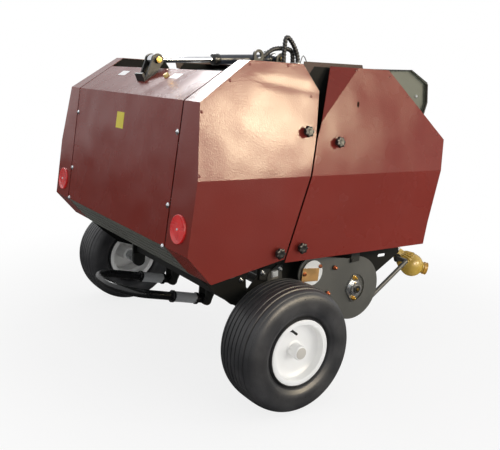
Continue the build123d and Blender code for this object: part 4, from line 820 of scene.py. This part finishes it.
# Where each part of the guard starts along the shaft, from the joint on, and the radii of the parts
DOME_PLACE, DOME_R = 0.465, 0.055
GUARD_START, GUARD_SLEEVE, GUARD_NECK, GUARD_CONE, GUARD_FLANGE = 0.046, 0.330, 0.378, 0.398, 0.445
GUARD_R, SLEEVE_R, NECK_R, FLANGE_R = 0.024, 0.0252, 0.029, 0.0525
CONE_R, CONE_FLARE, CONE_POWER = 0.0305, 0.0205, 0.9
RIB_COUNT, RIB_SHARE = 22, 0.055
COLLAR = [
    (0.0570, 0.0235), (0.0570, 0.0285), (0.0582, 0.0298), (0.0625, 0.0298), (0.0632, 0.0286), (0.0690, 0.0286),
    (0.0697, 0.0298), (0.0735, 0.0298), (0.0745, 0.0285), (0.0745, 0.0178),
]
DOME_LIP = [(0.0495, 0.0238), (0.0495, 0.0262), (0.0510, 0.0270), (0.0560, 0.0262), (0.0560, 0.0238)]


def heading(turn, drop):
    """Direction that is turned from +X and dropped below level."""
    return np.array([cos(turn) * cos(drop), sin(turn) * cos(drop), -sin(drop)])


def build_shaft_guard():
    """Guard of the drive shaft: one profile turned round the shaft, with ribs raised on its cone, and its rings.

    For the angle a the ribs scale the radius by 1 + RIB_SHARE (1 + tanh(3 cos(RIB_COUNT a))), on the cone alone.
    """
    line = heading(SHAFT_TURN, SHAFT_DROP)
    joint = place(*SHAFT_JOINT)
    outer = [
        (GUARD_START, 0.0002), (GUARD_START, GUARD_R - 0.002), (GUARD_START + 0.002, GUARD_R),
        (GUARD_SLEEVE, GUARD_R), (GUARD_SLEEVE + 0.0005, SLEEVE_R), (GUARD_NECK, SLEEVE_R),
        (GUARD_NECK + 0.0005, NECK_R), (GUARD_CONE - 0.002, NECK_R), (GUARD_CONE - 0.001, CONE_R + 0.001),
        (GUARD_CONE, CONE_R + 0.001),
    ]
    slope = np.linspace(0, 1, 12)[1:]
    outer += [(GUARD_CONE + (GUARD_FLANGE - GUARD_CONE) * t, CONE_R + CONE_FLARE * t ** CONE_POWER) for t in slope]
    outer += [(GUARD_FLANGE + 0.001, FLANGE_R), (GUARD_FLANGE + 0.003, FLANGE_R)]
    near = np.linspace(radians(72), radians(90), 5)
    outer += [(DOME_PLACE - DOME_R * cos(a), DOME_R * sin(a)) for a in near]
    far = np.linspace(0.1, pi / 2, 18)[:-1]
    outer += [(DOME_PLACE + DOME_R * sin(a), DOME_R * cos(a)) for a in far]
    outer += [(DOME_PLACE + DOME_R, 0.0002)]

    def ribs(angle, along, _):
        """Scale of the guard's radius, 1 outside the cone."""
        band = (np.clip((along - GUARD_CONE - 0.002) / 0.003, 0, 1)
                * np.clip((GUARD_FLANGE - 0.002 - along) / 0.004, 0, 1))
        return 1 + RIB_SHARE * band * (1 + np.tanh(3 * np.cos(RIB_COUNT * angle)))

    guard = Shape()
    guard.turned(outer, joint, line, RIB_COUNT * 12, lobes=ribs)
    guard.piece("ribbed_shaft_guard", "drive_guard", "guard_yellow", "guard_yellow", 30)
    rings = Shape()
    for along, profile in (
        (0.369, [(0, 0.0254), (0, 0.0285), (0.001, 0.0302), (0.006, 0.0302), (0.007, 0.0285), (0.007, 0.0254)]),
        (0.120, [(0, 0.0242), (0, 0.026), (0.001, 0.0272), (0.005, 0.0272), (0.006, 0.026), (0.006, 0.0242)]),
    ):
        rings.turned(profile, joint + line * along, line, 48, wrap=True)
    rings.piece("guard_clamps", "drive_guard", "zinc", "rod_chrome")
    for name, body, profile, material in (
        ("yoke_collar", "drive_yoke", COLLAR, "yoke_yellow"),
        ("dome_lip", "drive_guard", DOME_LIP, "guard_yellow"),
    ):
        ring = Shape()
        ring.turned(profile, joint + line * DOME_PLACE, heading(YOKE_TURN, YOKE_DROP), 48, wrap=True)
        ring.piece(name, body, "guard_yellow", material)


def build_twine_box_trim():
    """Black edging round both ends of the twine box, the hinge side left open, and three bolts on each end."""
    outline = [(0.586, 1.180), (0.586, 0.957), (0.788, 0.957), (0.8245, 1.076), (0.8150, 1.1515)]
    edging, bolts = Shape(), Shape()
    for hand in (RIGHT, LEFT):
        route = [place(x, hand * 0.4795, z) for x, z in outline]
        fine = np.vstack([np.linspace(a, b, 12)[:-1] for a, b in zip(route, route[1:])] + [route[-1]])
        edging.pipe(fine, 0.0042, 8)
        for x, z in ((0.62, 1.12), (0.77, 1.10), (0.72, 0.99)):
            hex_head(bolts, place(x, hand * 0.4662, z), (0, hand, 0), 0.011, 0.004)
    edging.piece("twine_box_edging", "chassis", "tube_black", "black_trim", 50)
    bolts.piece("twine_box_bolts", "chassis", "zinc", "zinc")


# Lift cylinder and top

ROD_PIN = (-0.200, 1.185)
BARREL_PIN = (0.388, 1.223)


def build_cylinder_details():
    """Gland, end band and oil port of the lift cylinder, and the gold heads of its two pins."""
    gland_at, port_at, pin_reach = 0.323, 0.062, 0.043
    run = unit([ROD_PIN[0] - BARREL_PIN[0], 0, ROD_PIN[1] - BARREL_PIN[1]])
    base = place(BARREL_PIN[0], 0, BARREL_PIN[1])
    bands, ports = Shape(), Shape()
    for start, profile in (
        (gland_at, [(-0.026, 0.0202), (-0.026, 0.0225), (-0.024, 0.0235), (0.001, 0.0235), (0.004, 0.0215),
                    (0.006, 0.0165), (0.006, 0.0124)]),
        (0.036, [(0, 0.0202), (0, 0.0218), (0.001, 0.0225), (0.014, 0.0225), (0.015, 0.0218), (0.015, 0.0202)]),
    ):
        bands.turned(profile, base + run * start, run, 40, wrap=True)
    bands.piece("cylinder_gland", "barrel", "tube_black", "tube_black")
    spot, up = base + run * port_at, (run[2], 0, -run[0])
    ports.turned([(0.016, 0.0095), (0.028, 0.0095), (0.028, 0.0)], spot, up, 6)
    ports.turned([(0.028, 0.0065), (0.034, 0.0065), (0.035, 0.0055), (0.035, 0.0)], spot, up, 16)
    ports.piece("cylinder_ports", "barrel", "zinc", "zinc")
    for (x, z), body in ((ROD_PIN, "tailgate"), (BARREL_PIN, "chassis")):
        heads = Shape()
        for hand in (RIGHT, LEFT):
            heads.turned([(0, 0.0112), (0.0012, 0.0118), (0.003, 0.0112), (0.0034, 0.006), (0.0022, 0.0045),
                          (0.0022, 0.0)], place(x, hand * pin_reach, z), (0, hand, 0), 28)
        heads.piece(f"{body}_pin_heads", body, "zinc", "gold_bolt")


def build_top_wire():
    """Bent wire catch on the lip of the right cover, and a corner plate behind the lip on each side, dark with the
    covers' painted shade.
    """
    plates = Shape()
    for hand in (RIGHT, LEFT):
        plates.plate([(0.152, 1.194), (0.160, 1.164), (0.190, 1.158), (0.206, 1.190)],
                     place(0, hand * 0.4836, 0), side_axes(hand), 0.0022)
    plates.piece("corner_plates", "chassis", "frame_paint", "shaded_cover_maroon")
    wire = Shape()
    bend = [(0.132, 1.196), (0.140, 1.220), (0.145, 1.224), (0.152, 1.219), (0.166, 1.196)]
    wire.pipe([place(x, -0.4848, z) for x, z in bend], 0.0016, 8)
    wire.piece("wire_catch", "chassis", "zinc", "black_trim", 60)


GEARBOX_REAR, GEARBOX_FRONT, GEARBOX_TOP = 0.640, 0.760, 0.640
HITCH_EYE = (1.400, 0, 0.420)


def build_front_details():
    """Gearbox bolts and filler, the grip of the jack's crank and the wear rings of the hitch eye."""
    bolts, grip, rings = Shape(), Shape(), Shape()
    for y in (-0.052, 0.052):
        for z in (0.508, 0.612):
            hex_head(bolts, place(GEARBOX_FRONT, y, z), (1, 0, 0), 0.014, 0.007)
            hex_head(bolts, place(GEARBOX_REAR, y, z), (-1, 0, 0), 0.014, 0.007)
    middle_x = (GEARBOX_REAR + GEARBOX_FRONT) / 2
    hex_head(bolts, place(middle_x, 0.030, GEARBOX_TOP), (0, 0, 1), 0.02, 0.012)
    bolts.piece("gearbox_bolts", "chassis", "zinc", "zinc")
    low, high = corners("jack_sleeve")
    foot = np.array([low[0] + 0.035, high[1] - 0.0140, high[2] - 0.070])
    grip.turned([(0.0, 0.0142), (0.001, 0.0155), (0.008, 0.0155), (0.012, 0.0145), (0.058, 0.0145),
                 (0.062, 0.0155), (0.0695, 0.0155), (0.0705, 0.0142)], foot, (0, 0, 1), 28)
    grip.piece("crank_grip", "chassis", "knob_plastic", "black_trim")
    for face in (-1, 1):
        rings.turned([(0.0148, 0.0206), (0.0148, 0.030), (0.0158, 0.0312), (0.0172, 0.030), (0.0172, 0.0206)],
                     place(*HITCH_EYE), (0, 0, face), 40, wrap=True)
    rings.piece("hitch_eye_rings", "chassis", "zinc", "zinc")


# Hoses

# Side of each hose, and its control points ahead of the axle and above the ground
HOSE_ROUTES = {
    "hose_near": (-0.066, (
        (0.255, 1.214), (0.300, 1.256), (0.345, 1.267), (0.415, 1.266), (0.424, 1.236), (0.424, 1.212))),
    "hose_far": (-0.089, (
        (0.357, 1.207), (0.3585, 1.282), (0.364, 1.318), (0.396, 1.298), (0.434, 1.240), (0.434, 1.212))),
}
HOSE_R = 0.010
HOSE_STEP = 0.0016
HOSE_SIDES = 20
GROOVE_SHARE = 0.16
BAND_SPAN, BAND_EDGE = 0.35, 9


def spline_points(name, route):
    """Points along the NURBS curve of third order that has the route as its control points."""
    curve = bpy.data.curves.new(name, "CURVE")
    curve.dimensions = "3D"
    curve.resolution_u = 40
    spline = curve.splines.new("NURBS")
    spline.points.add(len(route) - 1)
    for point, spot in zip(spline.points, route):
        point.co = (*spot, 1)
    spline.order_u = 3
    spline.use_endpoint_u = True
    holder = bpy.data.objects.new(name, curve)
    mesh = bpy.data.meshes.new_from_object(holder)
    points = np.empty(len(mesh.vertices) * 3)
    mesh.vertices.foreach_get("co", points)
    bpy.data.objects.remove(holder)
    bpy.data.meshes.remove(mesh)
    return points.reshape(-1, 3)


def build_hoses(sizes):
    """Hoses in a spiral guard: the radius swells along a helix that climbs one pitch for each turn.

    The swell is a logistic curve of a cosine wave, so the guard is a band with a narrow groove beside it.
    """
    group = Shape()
    for name, (side, route) in HOSE_ROUTES.items():
        path = spline_points(name, [place(x, side, z) for x, z in route])
        step = np.linalg.norm(np.diff(path, axis=0), axis=1)
        length = np.concatenate([[0], np.cumsum(step)])
        even = np.linspace(0, length[-1], int(length[-1] / HOSE_STEP))
        path = np.column_stack([np.interp(even, length, path[:, i]) for i in range(3)])
        angle = np.arange(HOSE_SIDES) * tau / HOSE_SIDES
        wave = np.cos(angle[None, :] - even[:, None] * tau / sizes.hose_pitch)
        band = 1 / (1 + np.exp(-(wave + BAND_SPAN) * BAND_EDGE))
        group.pipe(path, HOSE_R * (1 - GROOVE_SHARE + GROOVE_SHARE * band), HOSE_SIDES)
    piece = group.piece("wrapped_hoses", "chassis", "hose_rubber", "hose_rubber", 60)
    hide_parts("hoses")


# Properties, operators and panel

class BalerSizes(bpy.types.PropertyGroup):
    """Body colour and sizes that can be changed"""
    maroon: FloatVectorProperty(
        name="Body colour", description="Paint of the shields and sheets", subtype="COLOR", size=3,
        min=0, max=1, default=linear(128, 46, 38))
    tread_points: IntProperty(name="Tread points", description="Points across half the tread", default=64, min=16)
    tyre_steps: IntProperty(name="Tyre steps", description="Steps round a tyre", default=160, min=32)
    hose_pitch: FloatProperty(
        name="Spiral pitch", description="Length of one turn of the hoses' spiral guard", default=0.013,
        min=0.004, unit="LENGTH")


class BALER_OT_finishes(bpy.types.Operator):
    """Make every material and give each frame node its own"""
    bl_idname = "baler.finishes"
    bl_label = "Finishes"

    def execute(self, context):
        make_finishes(context.scene.baler_sizes)
        finish_frame_nodes()
        return {"FINISHED"}


class BALER_OT_wheels(bpy.types.Operator):
    """Build the ribbed tyres, the dished rims, their caps and valves"""
    bl_idname = "baler.wheels"
    bl_label = "Wheels"

    def execute(self, context):
        build_tyres(context.scene.baler_sizes)
        build_rims()
        return {"FINISHED"}


class BALER_OT_rear_trim(bpy.types.Operator):
    """Build the bolts, blank labels, cap and reflectors of the tailgate"""
    bl_idname = "baler.rear_trim"
    bl_label = "Rear trim"

    def execute(self, context):
        build_rear_trim()
        build_reflectors()
        return {"FINISHED"}


class BALER_OT_knobs(bpy.types.Operator):
    """Build the star knobs that hold the shields"""
    bl_idname = "baler.knobs"
    bl_label = "Star knobs"

    def execute(self, context):
        build_knobs()
        return {"FINISHED"}


class BALER_OT_hoses(bpy.types.Operator):
    """Build the two hydraulic hoses in their spiral guard"""
    bl_idname = "baler.hoses"
    bl_label = "Hoses"

    def execute(self, context):
        build_hoses(context.scene.baler_sizes)
        return {"FINISHED"}


class BALER_OT_rear_details(bpy.types.Operator):
    """Build the ramp springs, sheet beads, screws and latches"""
    bl_idname = "baler.rear_details"
    bl_label = "Rear details"

    def execute(self, context):
        build_ramp_springs()
        build_channel_beads()
        build_shield_screws()
        build_latches()
        return {"FINISHED"}


class BALER_OT_front_details(bpy.types.Operator):
    """Build the trim of the pickup, the shaft's guard, the twine box, the gearbox, the jack and the hitch eye"""
    bl_idname = "baler.front_details"
    bl_label = "Front details"

    def execute(self, context):
        build_pickup_details()
        build_shaft_guard()
        build_twine_box_trim()
        build_front_details()
        return {"FINISHED"}


class BALER_OT_top_details(bpy.types.Operator):
    """Build the lift cylinder's fittings and pin heads, the corner plates and the wire catch"""
    bl_idname = "baler.top_details"
    bl_label = "Top details"

    def execute(self, context):
        build_cylinder_details()
        build_top_wire()
        return {"FINISHED"}


# Stage

CAMERA_SPOT = (-1.38269, -2.38764, 1.13567)
CAMERA_YAW = radians(54.89866)
CAMERA_PITCH = radians(-12.44212)
CAMERA_ROLL = radians(3.20598)
CAMERA_LENS = 47.80
SENSOR = 36.0


def make_camera():
    """Camera at the photograph's place: looking along yaw and pitch, then rolled about its line of sight."""
    ahead = np.array([
        cos(CAMERA_PITCH) * cos(CAMERA_YAW), cos(CAMERA_PITCH) * sin(CAMERA_YAW), sin(CAMERA_PITCH)])
    level = np.array([sin(CAMERA_YAW), -cos(CAMERA_YAW), 0])
    upright = np.cross(level, ahead)
    right = level * cos(CAMERA_ROLL) + upright * sin(CAMERA_ROLL)
    up = upright * cos(CAMERA_ROLL) - level * sin(CAMERA_ROLL)
    data = bpy.data.cameras.new("photo_camera")
    data.lens = CAMERA_LENS
    data.sensor_width = SENSOR
    data.clip_end = 200
    camera = bpy.data.objects.new("photo_camera", data)
    matrix = np.eye(4)
    matrix[:3] = np.stack([right, up, -ahead, place(*CAMERA_SPOT)], axis=-1)
    camera.matrix_world = Matrix(matrix.tolist())
    bpy.context.collection.objects.link(camera)
    bpy.context.scene.camera = camera


SHOULDER = (0.05, -0.60, 1.0)

# Name, target, azimuth, elevation, distance, size, radiance, colour and rays of each light
PANELS = (
    ("low_sun", SHOULDER, -40.0, 24.0, 4.0, (0.5, 0.5), 16.0, (1.0, 0.95, 0.86), "diffuse"),
    ("sun_glint", SHOULDER, -54.0, 16.8, 4.0, (1.0, 0.34), 125.0, (1.0, 0.84, 0.56), "gloss"),
    ("facet_glint", SHOULDER, -86.0, 21.0, 4.0, (0.9, 0.6), 90.0, (1.0, 0.86, 0.66), "gloss"),
    ("warm_haze", SHOULDER, -74.0, 20.0, 4.0, (3.2, 1.4), 2.2, (1.0, 0.80, 0.70), "gloss"),
    ("side_fill", (0, -0.6, 0.5), -62.0, 4.0, 4.5, (3.4, 1.5), 4.2, (1.0, 0.98, 0.95), "diffuse"),
    ("sky_glint", (-0.22, -0.55, 1.12), 78.0, 38.0, 4.0, (2.2, 0.9), 27.0, (1, 1, 1), "gloss"),
)


def soft_panel(name, target, azimuth, elevation, distance, size, radiance, colour, rays):
    """Soft light panel seen from the target at an azimuth and elevation, facing it.

    It lights gloss or diffuse rays alone.
    """
    turn, climb = radians(azimuth), radians(elevation)
    away = np.array([cos(climb) * cos(turn), cos(climb) * sin(turn), sin(climb)])
    data = bpy.data.lights.new(name, "AREA")
    data.shape = "RECTANGLE"
    data.size, data.size_y = size
    data.energy = radiance * pi * size[0] * size[1]
    data.color = colour
    lamp = bpy.data.objects.new(name, data)
    matrix = np.eye(4)
    matrix[:3, :3] = axes_along(away)
    matrix[:3, 3] = place(*target) + away * distance
    lamp.matrix_world = Matrix(matrix.tolist())
    lamp.visible_diffuse = rays == "diffuse"
    lamp.visible_glossy = rays == "gloss"
    bpy.context.collection.objects.link(lamp)


WORLD_LIGHT = 0.62


def make_world():
    """Plain world: white to the camera, to gloss and through glass, and a softer light to the rest."""
    world = bpy.data.worlds.new("plain_sky")
    bpy.context.scene.world = world
    world.use_nodes = True
    tree = world.node_tree
    background = next(n for n in tree.nodes if n.type == "BACKGROUND")
    path = tree.nodes.new("ShaderNodeLightPath")
    total = path.outputs["Is Camera Ray"]
    for ray in ("Is Transmission Ray", "Is Glossy Ray"):
        either = tree.nodes.new("ShaderNodeMath")
        either.operation = "MAXIMUM"
        tree.links.new(total, either.inputs[0])
        tree.links.new(path.outputs[ray], either.inputs[1])
        total = either.outputs[0]
    strength = tree.nodes.new("ShaderNodeMapRange")
    strength.inputs["To Min"].default_value = WORLD_LIGHT
    strength.inputs["To Max"].default_value = 1.0
    tree.links.new(total, strength.inputs["Value"])
    tree.links.new(strength.outputs["Result"], background.inputs["Strength"])
    background.inputs["Color"].default_value = (1, 1, 1, 1)


FLOOR_HALF = 30.0
FLOOR_TONE = (0.92, 0.92, 0.92, 1)
FLOOR_IN_GLOSS = (0.14, 0.135, 0.13, 1)
FADE_FROM, FADE_TO = 0.9, 2.3
FADE_LEAST = 0.82


def make_floor():
    """Pale floor that turns to plain white for the camera away from the object, and is dimmer to gloss."""
    points = [(x, y, 0) for x, y in rectangle(FLOOR_HALF, FLOOR_HALF)]
    floor = new_mesh("studio_floor", points, [(0, 1, 2, 3)], closed=False)
    f = Finish("pale_floor")
    path = f.node("ShaderNodeLightPath")
    mix = f.node("ShaderNodeMix", data_type="RGBA")
    mix.inputs["A"].default_value = FLOOR_TONE
    mix.inputs["B"].default_value = FLOOR_IN_GLOSS
    f.link(path.outputs["Is Glossy Ray"], mix.inputs["Factor"])
    f.colour(mix.outputs["Result"])
    f.set(Roughness=1.0, Specular_IOR_Level=0.0)
    reach = f.node("ShaderNodeVectorMath", operation="LENGTH")
    f.link(f.where, reach.inputs[0])
    far = f.node("ShaderNodeMapRange", interpolation_type="SMOOTHSTEP")
    far.inputs["From Min"].default_value = FADE_FROM
    far.inputs["From Max"].default_value = FADE_TO
    far.inputs["To Min"].default_value = FADE_LEAST
    f.link(reach.outputs["Value"], far.inputs["Value"])
    seen = f.node("ShaderNodeMath", operation="MULTIPLY")
    f.link(far.outputs["Result"], seen.inputs[0])
    f.link(path.outputs["Is Camera Ray"], seen.inputs[1])
    glow = f.node("ShaderNodeEmission")
    blend = f.node("ShaderNodeMixShader")
    f.link(seen.outputs[0], blend.inputs["Fac"])
    f.link(f.shader.outputs["BSDF"], blend.inputs[1])
    f.link(glow.outputs["Emission"], blend.inputs[2])
    out = next(n for n in f.tree.nodes if n.type == "OUTPUT_MATERIAL")
    f.link(blend.outputs["Shader"], out.inputs["Surface"])
    floor.data.materials.append(f.material)


class BALER_OT_stage(bpy.types.Operator):
    """Set the floor, the sky, the lights and the camera"""
    bl_idname = "baler.stage"
    bl_label = "Stage"

    def execute(self, context):
        context.scene.view_settings.view_transform = "Standard"
        make_world()
        make_floor()
        make_camera()
        for panel in PANELS:
            soft_panel(*panel)
        return {"FINISHED"}


OPERATORS = (
    BALER_OT_finishes, BALER_OT_wheels, BALER_OT_rear_trim, BALER_OT_knobs, BALER_OT_rear_details,
    BALER_OT_front_details, BALER_OT_top_details, BALER_OT_hoses, BALER_OT_stage,
)


class BALER_PT_panel(bpy.types.Panel):
    """The baler's sizes and its operators"""
    bl_idname = "BALER_PT_panel"
    bl_label = "Baler"
    bl_space_type = "VIEW_3D"
    bl_region_type = "UI"
    bl_category = "Baler"

    def draw(self, context):
        for key in BalerSizes.__annotations__:
            self.layout.prop(context.scene.baler_sizes, key)
        for operator in OPERATORS:
            self.layout.operator(operator.bl_idname)


CLASSES = (BalerSizes, *OPERATORS, BALER_PT_panel)


def register():
    """Register the classes and hang the sizes on the scene."""
    for cls in CLASSES:
        bpy.utils.register_class(cls)
    bpy.types.Scene.baler_sizes = PointerProperty(type=BalerSizes)


def unregister():
    """Take back what register did."""
    del bpy.types.Scene.baler_sizes
    for cls in reversed(CLASSES):
        bpy.utils.unregister_class(cls)


def main():
    """Build everything in order."""
    register()
    for operator in OPERATORS:
        group, name = operator.bl_idname.split(".")
        getattr(getattr(bpy.ops, group), name)()


if __name__ == "__main__":
    main()
